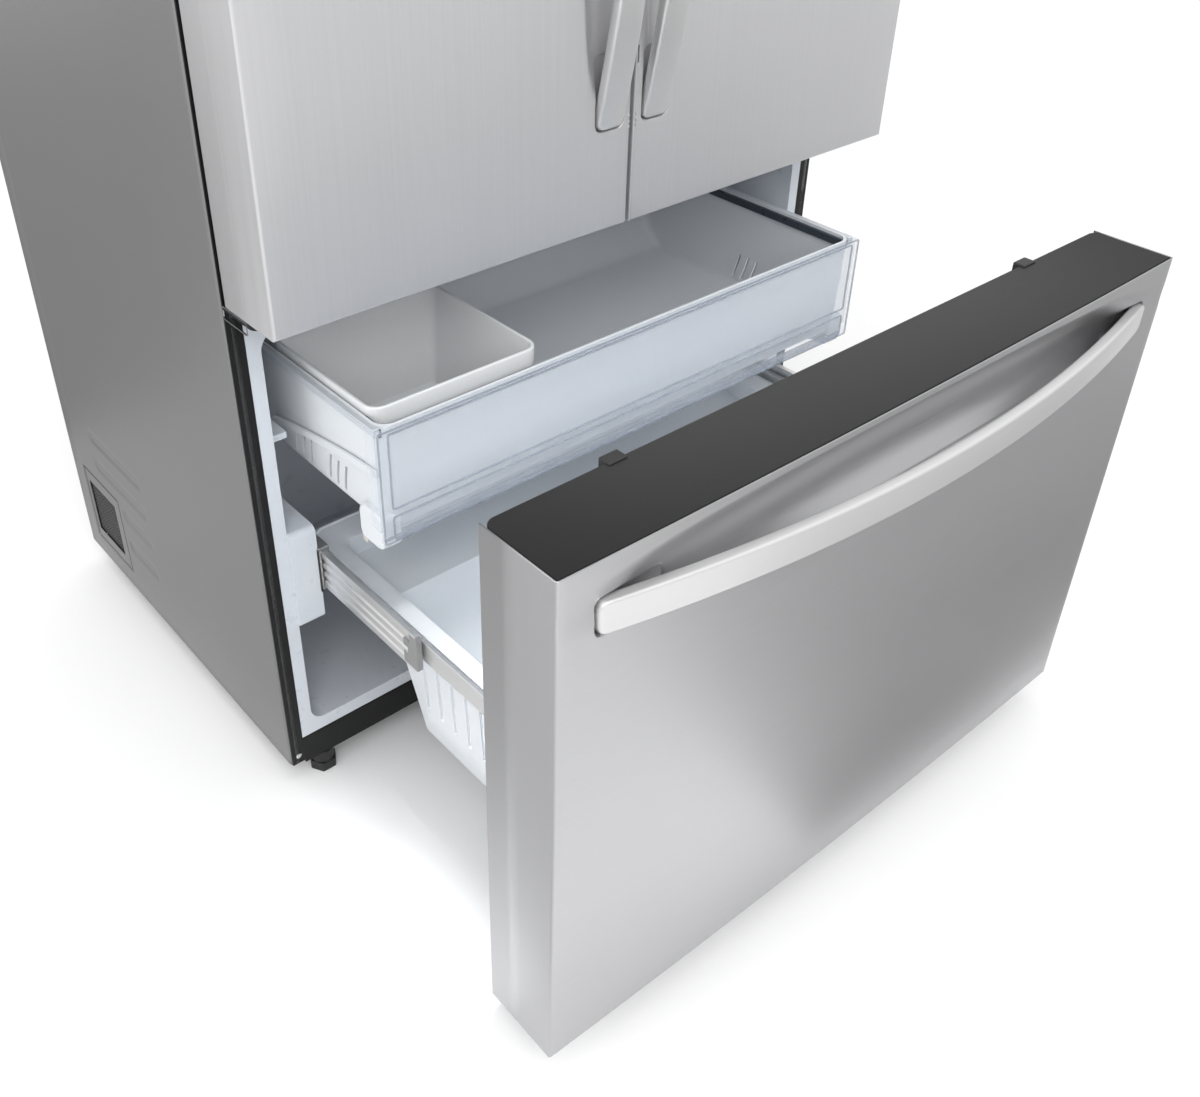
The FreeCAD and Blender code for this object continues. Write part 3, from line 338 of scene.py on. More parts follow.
def smooth_step(t):
    """Eases from 0 to 1 as t goes from 0 to 1."""
    t = min(1.0, max(0.0, t))
    return t * t * (3 - 2 * t)


def rectangle_distance(u, v, u0, u1, v0, v1, radius):
    """Signed distance to a rounded rectangle, negative inside."""
    du = abs(u - (u0 + u1) / 2) - (u1 - u0) / 2 + radius
    dv = abs(v - (v0 + v1) / 2) - (v1 - v0) / 2 + radius
    outside = math.hypot(max(du, 0), max(dv, 0))
    return outside + min(max(du, dv), 0) - radius


# ---------------------------------------------------------------- steel fronts

EDGE_R = 3 * MM
DOOR_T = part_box("left_door_skin")[1].y - FRONT


def fold_steps(low, high):
    """The folded edge at each end of a span: (place, depth) from the back, round the edge, to the front."""
    arc = []
    for i in range(5):
        angle = math.radians(90 * i / 4)
        arc.append((EDGE_R * (1 - math.sin(angle)), EDGE_R * (1 - math.cos(angle))))
    start = [(low, DOOR_T), (low, DOOR_T / 2)] + [(low + a, d) for a, d in reversed(arc)]
    end = [(high - a, d) for a, d in arc] + [(high, DOOR_T / 2), (high, DOOR_T)]
    return start, end


def steel_front(name, x_lines, z_lines, relief, origin_y, material, body, open_top=False, **links):
    """A steel sheet folded back at its edges, with a relief: relief(x, z) is how deep the front lies."""
    x_start, x_end = fold_steps(x_lines[0], x_lines[-1])
    z_start, z_end = fold_steps(z_lines[0], z_lines[-1])
    columns = x_start + [(x, 0) for x in x_lines[1:-1]] + x_end
    rows = z_start + [(z, 0) for z in z_lines[1:-1]]
    rows += [(z_lines[-1], 0)] if open_top else z_end
    vertices = []
    for z, row_depth in rows:
        for x, column_depth in columns:
            folded = max(row_depth, column_depth)
            deep = relief(x, z) * (1 - smooth_step(folded / (2 * EDGE_R)))
            vertices.append((x, origin_y + folded + deep, z))
    wide = len(columns)
    faces = []
    for r in range(len(rows) - 1):
        for c in range(wide - 1):
            a = r * wide + c
            faces.append((a, a + 1, a + wide + 1, a + wide))
    thing = piece(name, vertices, faces, material, body, sharp=60, **links)
    sheet = thing.modifiers.new("sheet", "SOLIDIFY")
    sheet.thickness = 1.2 * MM
    sheet.offset = -1
    return thing


def outward(thing):
    """Turns a front sheet's faces so that they look away from its core."""
    first = max(thing.data.polygons, key=lambda p: p.area)
    if first.normal.y > 0 and abs(first.normal.y) > 0.9:
        thing.data.flip_normals()
    return thing


class Grip:
    """A bowed bar's seat and the dish behind it, along one axis of a front."""

    def __init__(self, centre, half, dish_centre, dish_deep, dish_r, bar_low, bar_high, blend):
        self.centre, self.half = centre, half
        self.dish_centre, self.dish_deep, self.dish_r = dish_centre, dish_deep, dish_r
        self.bar_low, self.bar_high = bar_low, bar_high
        self.blend = blend
        self.reach = half - 14 * MM
        self.seat_long = 78 * MM

    def dish(self, along, across):
        """Depth of the dish: a shallow arc along the bar, part of a circle across it."""
        floor = self.dish_deep * (1 - ((along - self.centre) / self.reach) ** 2)
        side = self.dish_r ** 2 - (across - self.dish_centre) ** 2
        if side <= 0:
            return -self.dish_r
        return floor - self.dish_r + math.sqrt(side)

    def seat(self, along, across):
        """Depth of the pockets that take the ends of the bar."""
        deep = 0.0
        for end in (-1, 1):
            low = self.centre + end * self.half
            u0, u1 = sorted((low + end * 1.2 * MM, low - end * self.seat_long))
            distance = rectangle_distance(along, across, u0, u1, self.bar_low - 1.2 * MM, self.bar_high + 1.2 * MM,
                                          7 * MM)
            deep = max(deep, 9 * MM * smooth_step(0.5 - distance / (1.6 * MM)))
        return deep

    def depth(self, along, across):
        """Depth of dish and pockets together."""
        dished = smooth_max(self.dish(along, across), 0.0, self.blend)
        return max(dished, self.seat(along, across))


def bowed_bar(name, along_axis, grip, bow, thick, front, material, body, **links):
    """A flat bar bent to a shallow arc, with rounded long edges and rounded ends."""
    middle = (grip.bar_low + grip.bar_high) / 2
    half_tall = (grip.bar_high - grip.bar_low) / 2
    end_r, edge_r = 9 * MM, 3 * MM
    offsets = [0, 0.4, 1.2, 2.4, 4, 6, 9]
    lines = [grip.centre - grip.half + o * MM for o in offsets]
    lines += steps_between(grip.centre - grip.half + 14 * MM, grip.centre + grip.half - 14 * MM, 9 * MM)
    lines += [grip.centre + grip.half - o * MM for o in reversed(offsets)]
    rings = []
    for place in lines:
        from_end = grip.half - abs(place - grip.centre)
        inset = end_r - math.sqrt(end_r ** 2 - max(0.0, end_r - from_end) ** 2)
        tip = max(0.0, 1 - from_end / (2.4 * MM))
        arc = 1 - ((place - grip.centre) / grip.half) ** 2
        outer = front - bow * arc + 1.6 * MM * tip * tip
        inner = min(front + 12 * MM, front - bow * arc + thick)
        tall = half_tall - inset
        radius = min(edge_r, (inner - outer) / 2 - 0.2 * MM)
        outline = rounded_rectangle(outer, inner, middle - tall, middle + tall, radius, 5)
        rings.append((outline, place))
    if along_axis == "x":
        vertices, faces = lofted(rings, "x")
    else:
        vertices, faces = lofted([([(v, u) for u, v in outline], w) for outline, w in rings], "z")
    return piece(name, vertices, faces, material, body, sharp=50, **links)


def door_front(side, name):
    """One upper door's steel front and its bar."""
    low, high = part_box(f"{name}_door_skin")
    bar_low, bar_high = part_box(f"{name}_door_handle")
    centre = 1191 * MM
    half = 369 * MM
    lower_seat = [z * MM for z in (815, 832, 885, 905)]
    upper_seat = [z * MM for z in (1477, 1497, 1550, 1567)]
    inner_edge, outer_edge = sorted((abs(bar_low.x), abs(bar_high.x)))
    grip = Grip(centre, half, outer_edge - 8 * MM, 25 * MM, 34 * MM, inner_edge, outer_edge, 3 * MM)
    near, far = sorted((abs(low.x), abs(high.x)))
    fine = merged_lines(steps_between(near, near + 84 * MM, 1.4 * MM), steps_between(near + 84 * MM, far, 60 * MM))
    x_lines = sorted(side * v for v in fine)
    places = [low.z] + lower_seat + upper_seat + [high.z]
    pitches = (30, 1, 5, 1, 9, 1, 5, 1, 40)
    z_lines = merged_lines(*(steps_between(a, b, pitch * MM) for a, b, pitch in zip(places, places[1:], pitches)))
    body = f"{name}_door"
    sheet = steel_front(f"{name}_door_front", x_lines, z_lines, lambda x, z: grip.depth(z, abs(x)), low.y,
                        STEEL_UPRIGHT_PAINTED_LIGHT, body, replaces=(f"{name}_door_skin",), slot="stainless")
    outward(sheet)
    mirrored = Grip(centre, half, 0, 0, 1, *sorted((side * inner_edge, side * outer_edge)), 1)
    bowed_bar(f"{name}_door_bar", "z", mirrored, 45 * MM, 13 * MM, low.y - 2 * MM, BAR_UPRIGHT, body,
              replaces=(f"{name}_door_handle",), slot="handle_steel")


def door_inside(side, name):
    """The white inner panel of a door with its raised, rounded dyke."""
    low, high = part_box(f"{name}_door_liner")
    gap_edge, far_edge = sorted((abs(low.x), abs(high.x)))
    x0, x1 = sorted((side * (gap_edge + 0.4 * MM), side * (far_edge - 0.4 * MM)))
    back = depth_y(DOOR_T)
    top = 1.7556
    block(f"{name}_door_inner", x0, x1, back - 55 * MM, back, low.z + 0.4 * MM, top - 0.4 * MM, LINER_WHITE_AND_BLUE_SHADE,
          f"{name}_door", 0, 0.8 * MM, replaces=(f"{name}_door_liner",), slot="door_core")
    inner, outer = sorted((side * 62 * MM, side * 398 * MM))
    z0, z1 = 0.765, 1.682
    rings = []
    for grow, deep in ((0, -2), (0, 6), (-1.5, 20), (-3, 28), (-6, 32), (-9, 33), (-12, 32), (-15, 28), (-17, 20),
                       (-18.5, 6), (-19, 0.6)):
        g = grow * MM
        rings.append((rounded_rectangle(inner - g, outer + g, z0 - g, z1 + g, max(4 * MM, 26 * MM + g), 8),
                      back + deep * MM))
    vertices, faces = lofted(rings, "y")
    piece(f"{name}_door_dyke", vertices, faces, LINER_WHITE_AND_BLUE_SHADE, f"{name}_door", slot="door_core", sharp=50)


def drawer_front():
    """The drawer's convex steel front, dished behind its bar, with the bar and the charcoal cap."""
    low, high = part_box("drawer_skin")
    face_y = high.y - DOOR_T
    bulge = 5 * MM
    half = high.x
    bar_low, bar_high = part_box("drawer_handle")
    grip = Grip(0.0, 412 * MM, 632 * MM, 28 * MM, 39 * MM, bar_low.z, bar_high.z, 13 * MM)

    def relief(x, z):
        return grip.depth(x, z) - bulge * (1 - (x / half) ** 2)

    seat_x = merged_lines(steps_between(-418 * MM, -405 * MM, 0.9 * MM), steps_between(-405 * MM, -345 * MM, 4 * MM),
                          steps_between(-345 * MM, -328 * MM, 1 * MM))
    x_lines = merged_lines([-half, half], steps_between(-half, -418 * MM, 12 * MM), seat_x,
                           steps_between(-328 * MM, 328 * MM, 9 * MM), [-v for v in seat_x],
                           steps_between(418 * MM, half, 12 * MM))
    dish_low, rim = 585 * MM, 678.6 * MM
    z_lines = merged_lines([low.z, rim], steps_between(low.z, dish_low, 40 * MM),
                           steps_between(dish_low, rim, 1.2 * MM))
    sheet = steel_front("drawer_front", x_lines, z_lines, relief, face_y, STEEL, "freezer_drawer", open_top=True,
                        replaces=("drawer_skin",), slot="stainless")
    outward(sheet)
    bowed_bar("drawer_bar", "x", grip, 49 * MM, 13 * MM, face_y - 3 * MM, BAR, "freezer_drawer",
              replaces=("drawer_handle",), slot="handle_steel")

    inset = 2.2 * MM
    wide = half - inset
    front_arc = [(x, face_y + inset - bulge * (1 - (x / half) ** 2)) for x in steps_between(-wide, wide, 30 * MM)]
    back_corner = 12 * MM
    back = high.y - 0.4 * MM
    outline = list(front_arc)
    for cx, start in ((wide - back_corner, 0), (-wide + back_corner, 90)):
        for i in range(9):
            angle = math.radians(start + 90 * i / 8)
            outline.append((cx + back_corner * math.cos(angle), back - back_corner + back_corner * math.sin(angle)))
    prism("drawer_cap", outline, "z", 668 * MM, 679 * MM, CHARCOAL, "freezer_drawer", 1.6 * MM,
          replaces=("drawer_top_cap",), slot="cap_charcoal")
    for x in (-309, 309):
        block(f"cap_clip_{'left' if x < 0 else 'right'}", (x - 11) * MM, (x + 11) * MM, back - 7 * MM, back + 8 * MM,
              668 * MM, 681.5 * MM, BLACK_PLASTIC, "freezer_drawer", 0, 1.8 * MM, slot="cap_charcoal")


def drawer_inside():
    """The white panel on the back of the drawer front with its raised dyke."""
    low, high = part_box("drawer_liner")
    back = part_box("drawer_skin")[1].y
    block("drawer_inner_panel", low.x + 0.4 * MM, high.x - 0.4 * MM, back - 40 * MM, back - 0.6 * MM, 46.8 * MM,
          666 * MM, LINER_WHITE_AND_BLUE_SHADE, "freezer_drawer", 0, 0.8 * MM, replaces=("drawer_liner",), slot="door_core")
    rings = []
    for grow, deep in ((0, -2), (0, 4), (-1.5, 12), (-4, 17), (-9, 20.5), (-15, 21.5)):
        g = grow * MM
        rings.append((rounded_rectangle(-369 * MM - g, 369 * MM + g, 108 * MM - g, 640 * MM + g, 22 * MM + g, 8),
                      back + deep * MM))
    vertices, faces = lofted(rings, "y")
    piece("drawer_inner_dyke", vertices, faces, LINER_WHITE_AND_BLUE_SHADE, "freezer_drawer", slot="door_core", sharp=50)


def gaskets():
    """Soft magnetic seals: two rolls with a valley between them."""
    for name, body in (("left_door_gasket", "left_door"), ("right_door_gasket", "right_door"),
                       ("drawer_gasket", "freezer_drawer")):
        low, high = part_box(name)
        wide = 14 * MM
        section = ((0, 0.2), (0.4, 4), (0, 7), (1.2, 10), (4, 10.4), (6.2, 9.6), (7, 7.4), (7.8, 9.6), (10, 10.4),
                   (12.8, 10), (14, 7), (13.6, 4), (14, 0.2))
        rings = []
        for inset, deep in section:
            i = inset * wide / 14
            radius = max(1 * MM, 15 * MM - i)
            rings.append((rounded_rectangle(low.x + i, high.x - i, low.z + i, high.z - i, radius, 6),
                          low.y + deep * MM))
        vertices, faces = looped(rings, "y")
        piece(f"{name}_seal", vertices, faces, RUBBER, body, replaces=(name,), slot="gasket_grey", sharp=50)


# ---------------------------------------------------------------- cabinet

def side_sheet(edge):
    """A side sheet as a height field, with embossed ribs and a pressed vent panel.

    Returns its grid lines and how far it lies inwards at a depth and height.
    """
    ribs = [(464, 637, 280, 300), (464, 637, 229, 249), (464, 560, 178, 198), (464, 560, 122, 142)]

    def height(d, z):
        inwards = 0.0
        for d0, d1, z0, z1 in ribs:
            distance = rectangle_distance(d, z, d0 * MM, d1 * MM, z0 * MM, z1 * MM, 9.9 * MM)
            inwards += 1.5 * MM * smooth_step(0.5 - distance / (5 * MM))
        panel = rectangle_distance(d, z, *VENT_PANEL, 3 * MM)
        inwards = max(inwards, 1.2 * MM * smooth_step(0.5 - panel / (2 * MM)))
        groove = abs(panel + 1.2 * MM)
        return max(inwards, 4.5 * MM * smooth_step(1.4 - groove / (1.4 * MM)))

    fine = 0.8 * MM
    depths = merged_lines([CASE_START + edge, 0.30], steps_between(0.455, 0.570, 2.5 * MM),
                          steps_between(0.570, 0.579, fine), steps_between(0.579, 0.598, 2.5 * MM),
                          steps_between(0.598, 0.690, 3 * MM), steps_between(0.694, 0.704, fine), [0.738])
    heights = merged_lines([CASE_LOW.z, 0.055], steps_between(0.066, 0.076, fine),
                           steps_between(0.076, 0.088, 2.5 * MM), steps_between(0.088, 0.180, 3 * MM),
                           steps_between(0.180, 0.198, 2.5 * MM), steps_between(0.198, 0.208, fine),
                           steps_between(0.208, 0.312, 2.5 * MM), [0.6, 1.2, CASE_HIGH.z - edge])
    return depths, heights, height


def cabinet():
    """The wrap of the cabinet: both sides and the top in one folded sheet with a rounded front edge."""
    half, top = CASE_HIGH.x, CASE_HIGH.z
    edge = 7 * MM
    depths, heights, height = side_sheet(edge)
    profile = []
    for i in range(5):
        angle = math.radians(90 * i / 4)
        profile.append((edge * (1 - math.sin(angle)), CASE_START + edge * (1 - math.cos(angle))))
    columns = [(12 * MM, CASE_START)] + profile + [(None, d) for d in depths[1:]]
    arc = [(edge * (1 - math.cos(math.radians(a))), edge * (1 - math.sin(math.radians(a)))) for a in (22.5, 45, 67.5)]
    vertices = []
    rows = 0
    for side in (-1, 1):
        levels = heights if side < 0 else list(reversed(heights))
        for z in levels:
            for inset, d in columns:
                inwards = height(d, z) if inset is None else inset
                vertices.append((side * (half - inwards), depth_y(d), z))
            rows += 1
        if side < 0:
            for x_in, z_in in arc:
                for inset, d in columns:
                    push = 0.0 if inset is None else inset
                    vertices.append((-(half - max(x_in, push)), depth_y(d), top - max(z_in, push)))
                rows += 1
            for x in steps_between(-half + edge, half - edge, 0.3):
                for inset, d in columns:
                    push = 0.0 if inset is None else inset
                    limit = half - max(edge, push)
                    vertices.append((max(-limit, min(limit, x)), depth_y(d), top - push))
                rows += 1
            for x_in, z_in in reversed(arc):
                for inset, d in columns:
                    push = 0.0 if inset is None else inset
                    vertices.append((half - max(x_in, push), depth_y(d), top - max(z_in, push)))
                rows += 1
    wide = len(columns)
    faces = []
    for r in range(rows - 1):
        for c in range(wide - 1):
            a = r * wide + c
            centre_z = (vertices[a][2] + vertices[a + wide][2]) / 2
            centre_d = (vertices[a][1] + vertices[a + 1][1]) / 2 - FRONT
            d0, d1, z0, z1 = VENT_WINDOW
            if not (d0 < centre_d < d1 and z0 < centre_z < z1):
                faces.append((a, a + 1, a + wide + 1, a + wide))
    shell = piece("cabinet_wrap", vertices, faces, CABINET, "cabinet", replaces=("cabinet_shell",),
                  slot="cabinet_paint", sharp=60)
    biggest = max(shell.data.polygons, key=lambda p: p.area)
    if biggest.center.x * biggest.normal.x < 0 or biggest.normal.z < -0.5:
        shell.data.flip_normals()
    sheet = shell.modifiers.new("sheet", "SOLIDIFY")
    sheet.thickness = 1.0 * MM
    sheet.offset = -1


def vent_grilles():
    """Fine grey mesh over black painted shade behind each side window, and black strips of painted shade on the
    panel's top and front edges.
    """
    for side, name in ((-1, "left"), (1, "right")):
        outer = 450.2 * MM
        upright_pitch, level_pitch = 6.9 * MM, 5.1 * MM
        vertices, faces = [], []

        def bar(d0, d1, z0, z1, x_in, x_out):
            outline = [(depth_y(d1), z0), (depth_y(d1), z1), (depth_y(d0), z1), (depth_y(d0), z0)]
            more, quads = lofted([(outline, side * x_in), (outline, side * x_out)], "x")
            start = len(vertices)
            vertices.extend(more)
            faces.extend(tuple(start + i for i in f) for f in quads)

        for i in range(14):
            d = 0.5985 + i * upright_pitch
            bar(d, d + 1.5 * MM, 0.087, 0.181, outer - 1.2 * MM, outer)
        for i in range(19):
            z = 0.0885 + i * level_pitch
            bar(0.597, 0.691, z, z + 1.1 * MM, outer - 1.1 * MM, outer - 0.2 * MM)
        piece(f"vent_mesh_{name}", vertices, faces, MESH_GREY, "cabinet",
              replaces=("side_vents",) if side < 0 else (), slot="vent_dark")
        # Black plate behind the grille: painted shade for the dark space behind the window.
        x0, x1 = sorted((side * (outer - 5 * MM), side * (outer - 2.6 * MM)))
        block(f"vent_painted_shade_backing_{name}", x0, x1, depth_y(0.594), depth_y(0.694), 0.084, 0.184, BLACK_PLASTIC, "cabinet",
              0, 0.6 * MM, slot="vent_dark")
        # Thin black strips on the panel's top and front edges only: painted shade where the groove's steps face away
        # from the light.
        x0, x1 = sorted((side * (CASE_HIGH.x - 4.2 * MM), side * (CASE_HIGH.x - 0.7 * MM)))
        block(f"vent_painted_shade_top_{name}", x0, x1, depth_y(0.5745), depth_y(0.699), 0.1995, 0.204, BLACK_PLASTIC,
              "cabinet", 0, 0.2 * MM, slot="vent_dark")
        block(f"vent_painted_shade_front_{name}", x0, x1, depth_y(0.574), depth_y(0.5785), 0.072, 0.199, BLACK_PLASTIC,
              "cabinet", 0, 0.2 * MM, slot="vent_dark")


# ---------------------------------------------------------------- freezer inside

def slanted_slot(x0, x1, d, z0, z1, wide, lean):
    """A cutter for a narrow slot that leans back as it rises."""
    lower = [(depth_y(d), z0), (depth_y(d) + wide, z0)]
    upper = [(depth_y(d) + wide + lean, z1), (depth_y(d) + lean, z1)]
    return lofted([(lower + upper, x0), (lower + upper, x1)], "x")


def upper_tray():
    """The slide-out tray: draughted walls, a metal trim strip, curved rib and slanted slots."""
    low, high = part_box("upper_tray")
    front, back = low.y + 0.3 * MM, high.y - 1 * MM
    half = 371 * MM
    floor, rim = 462 * MM, 597 * MM
    rings = []
    profile = ((-14, 0), (-7, 1.6), (-4, 6), (-2, 30), (0, 126), (0, 135), (-3, 135), (-3.4, 126), (-5, 30), (-8, 8),
               (-14, 4))
    for grow, rise in profile:
        g = grow * MM
        z = floor + rise * MM
        slope = 0.062 * (1 - min(1.0, rise / 60))
        rings.append((rounded_rectangle(-half - g, half + g, front - min(0, g), back + g - slope, 16 * MM, 6), z))
    vertices, faces = lofted(rings, "z")
    tray = piece("tray_shell", vertices, faces, TRAY, "ice_tray", replaces=("upper_tray",), slot="tray_white")
    cutters = []
    for side in (-1, 1):
        x0, x1 = sorted((side * (half - 20 * MM), side * (half + 10 * MM)))
        for start in (0.045, 0.118):
            for i in range(3):
                cutters.append(slanted_slot(x0, x1, start + i * 0.016, 0.474, 0.510, 4.4 * MM, -9 * MM))
    carve(tray, cutters)
    for side, name in ((-1, "left"), (1, "right")):
        x0, x1 = sorted((side * (half - 1.5 * MM), side * (half + 7 * MM)))
        block(f"tray_trim_{name}", x0, x1, front + 3 * MM, back - 14 * MM, rim - 9 * MM, rim - 0.2 * MM, BLUE_TRIM,
              "ice_tray", 0, 1.2 * MM, slot="tray_white")
        # Dark blue strip under the trim inside the wall: painted shade where the channel lies in shadow.
        c0, c1 = sorted((side * (half - 8 * MM), side * (half - 1.7 * MM)))
        block(f"tray_channel_{name}", c0, c1, front + 5 * MM, back - 16 * MM, rim - 14 * MM, rim - 4 * MM,
              SHADOW_BLUE, "ice_tray", 0, 0.6 * MM, slot="tray_white")
        points = []
        for i in range(13):
            t = i / 12
            d = -0.03 + 0.22 * t
            points.append((depth_y(d), 0.532 - 0.036 * (t ** 1.4)))
        outline = [(y, z) for y, z in points] + [(y, z + 9 * MM) for y, z in reversed(points)]
        lo, hi = sorted((side * (half + 0.2 * MM), side * (half + 4 * MM)))
        prism(f"tray_rib_{name}", outline, "x", lo, hi, TRAY, "ice_tray", 0.8 * MM, slot="tray_white")


def clear_front():
    """Thick clear panel: framed upper field, a mid line and a lower band."""
    low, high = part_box("tray_front")
    x0, x1 = low.x, high.x
    body = "ice_tray"
    y0 = low.y + 2 * MM
    y1 = high.y
    rings = []
    for grow, deep in ((-0.8, 0), (0, 0.8), (0, 4.2), (-0.8, 5)):
        g = grow * MM
        rings.append((rounded_rectangle(x0 - g, x1 + g, low.z - g, high.z + g, 4 * MM, 5), y0 + deep * MM))
    vertices, faces = lofted(rings, "y")
    piece("tray_window", vertices, faces, CLEAR, body, replaces=("tray_front",), slot="clear_plastic")
    frames = ((x0 + 13 * MM, x1 - 13 * MM, 0.497, high.z - 5 * MM),
              (x0 + 13 * MM, x1 - 13 * MM, low.z + 3 * MM, 0.489),
              (x0 + 0.6 * MM, x1 - 0.6 * MM, low.z + 0.6 * MM, high.z - 0.6 * MM))
    for index, (a, b, c, d) in enumerate(frames):
        rings = []
        for inset, deep in ((0, 0.2), (0.4, -1.6), (1.5, -1.6), (1.9, 0.2)):
            i = inset * MM
            rings.append((rounded_rectangle(a + i, b - i, c + i, d - i, 3 * MM, 4), y0 + deep * MM))
        vertices, faces = looped(rings, "y")
        piece(f"tray_window_frame_{index}", vertices, faces, CLEAR_EDGE_PAINTED_SHADE, body, slot="clear_plastic")
    for side, name in ((-1, "left"), (1, "right")):
        a, b = sorted((side * (abs(x1) - 5 * MM), side * abs(x1)))
        block(f"tray_window_return_{name}", a, b, y1 - 0.3 * MM, y1 + 18 * MM, 0.470, high.z - 1 * MM, CLEAR, body, 0,
              1 * MM, slot="clear_plastic")
    block("tray_lower_ledge", x0 + 4 * MM, x1 - 4 * MM, y1 - 0.2 * MM, y1 + 8 * MM, low.z, low.z + 4 * MM, CLEAR_EDGE_PAINTED_SHADE,
          body, 0, 1 * MM, slot="clear_plastic")


def tray_corner_guides():
    """Rounded white guide blocks under the tray's front corners, each with a small beige stop."""
    for side, name in ((-1, "left"), (1, "right")):
        a, b = sorted((side * 352 * MM, side * 377.6 * MM))
        block(f"tray_guide_{name}", a, b, depth_y(-0.0395), depth_y(0.006), 0.441, 0.486, TRAY, "ice_tray", 11 * MM,
              3 * MM, axis="x", slot="tray_white")
        a, b = sorted((side * 366 * MM, side * 374 * MM))
        block(f"tray_stop_{name}", a, b, depth_y(0.0), depth_y(0.009), 0.431, 0.443, BEIGE, "ice_tray", 2 * MM,
              0.8 * MM, slot="tray_white")


def ice_bin():
    """White bin with a rolled rim and rounded corners."""
    low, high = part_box("ice_bin")
    x0, x1, y0, y1 = low.x + 1 * MM, high.x - 3 * MM, low.y - 9 * MM, high.y - 4 * MM
    base = low.z + 0.3 * MM
    rim = high.z
    profile = [(-12, base), (-7, base + 1.5 * MM), (-5, base + 5 * MM), (0.8, rim - 22 * MM), (3.2, rim - 21.6 * MM),
               (4, rim - 3 * MM), (3.5, rim - 0.9 * MM), (2.4, rim), (0.4, rim), (-0.8, rim - 0.8 * MM),
               (-1.6, rim - 4 * MM), (-8, base + 8 * MM), (-12, base + 4 * MM)]
    rings = bin_rings(x0, x1, y0, y1, [(g * MM, z) for g, z in profile], 15 * MM)
    vertices, faces = lofted(rings, "z")
    piece("ice_bin_shell", vertices, faces, BIN, "ice_tray", replaces=("ice_bin",), slot="tray_white")


def basket():
    """The deep basket: wide flat rim, draughted walls, stepped back and upright slots."""
    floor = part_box("drawer_basket")[0].z
    half = 352 * MM
    front = depth_y(-0.290)

    def ring(grow, rise, back_at):
        g = grow * MM
        return (rounded_rectangle(-half - g, half + g, front - g * 0.3, depth_y(back_at) + g, 16 * MM, 6),
                floor + rise * MM)

    rings = [ring(-34, 0, 0.004), ring(-27, 1.5, 0.008), ring(-24, 6, 0.012), ring(-20, 90, 0.036),
             ring(-17, 172, 0.062), ring(-16, 180, 0.150), ring(-15.6, 184, 0.152), ring(-15, 205, 0.152),
             ring(4, 206.5, 0.160), ring(5, 203, 0.161), ring(7, 202.6, 0.161), ring(8, 204, 0.161),
             ring(8, 212, 0.161), ring(7, 215, 0.161), ring(5, 215.4, 0.160), ring(3.6, 213.6, 0.160),
             ring(-14, 211, 0.152), ring(-18.6, 209, 0.150), ring(-19.4, 188, 0.149), ring(-20, 184, 0.148),
             ring(-21, 176, 0.059), ring(-23, 92, 0.034), ring(-27, 8, 0.010), ring(-31, 4, 0.006),
             ring(-36, 3, 0.002)]
    vertices, faces = lofted(rings, "z")
    shell = piece("basket_shell", vertices, faces, TRAY, "freezer_drawer", replaces=("drawer_basket",),
                  slot="tray_white")
    cutters = []
    for side in (-1, 1):
        x0, x1 = sorted((side * (half - 40 * MM), side * (half - 10 * MM)))
        for i in range(9):
            cutters.append(slanted_slot(x0, x1, -0.262 + i * 0.028, 0.176, 0.292, 6 * MM, 1 * MM))
    carve(shell, cutters)
    soften(shell, 0.6 * MM, 2, 40)


def hinge_edges():
    """Bright edges on the black hinge plates between doors and drawer."""
    for side, name in ((-1, "left"), (1, "right")):
        rings = []
        for inset, out in ((0, 452.4), (0, 453.7), (1.5, 453.7), (1.5, 452.4)):
            i = inset * MM
            outline = rounded_rectangle(depth_y(0.056) + i, depth_y(0.1072) - i, 0.690 + i, 0.7055 - i, 4 * MM - i, 5)
            rings.append((outline, side * out * MM))
        vertices, faces = looped(rings, "x")
        piece(f"hinge_edge_{name}", vertices, faces, CHROME, "cabinet", slot="black_steel")


def feet():
    """Levelling feet: a six-sided base under a round boss."""
    for side, name in ((-1, "left"), (1, "right")):
        x, y = side * 0.402, depth_y(0.122)

        def round_points(radius, count):
            turns = [math.radians(360 / count * i) for i in range(count)]
            return [(x + radius * math.cos(turn), y + radius * math.sin(turn)) for turn in turns]

        prism(f"foot_base_{name}", round_points(0.019, 6), "z", 0.0, 0.015, BLACK_PLASTIC, "cabinet", 2 * MM,
              replaces=("front_feet",) if side < 0 else (), slot="foot_plastic")
        prism(f"foot_boss_{name}", round_points(0.0155, 24), "z", 0.0145, 0.0327, BLACK_PLASTIC, "cabinet", 1.5 * MM,
              slot="foot_plastic")


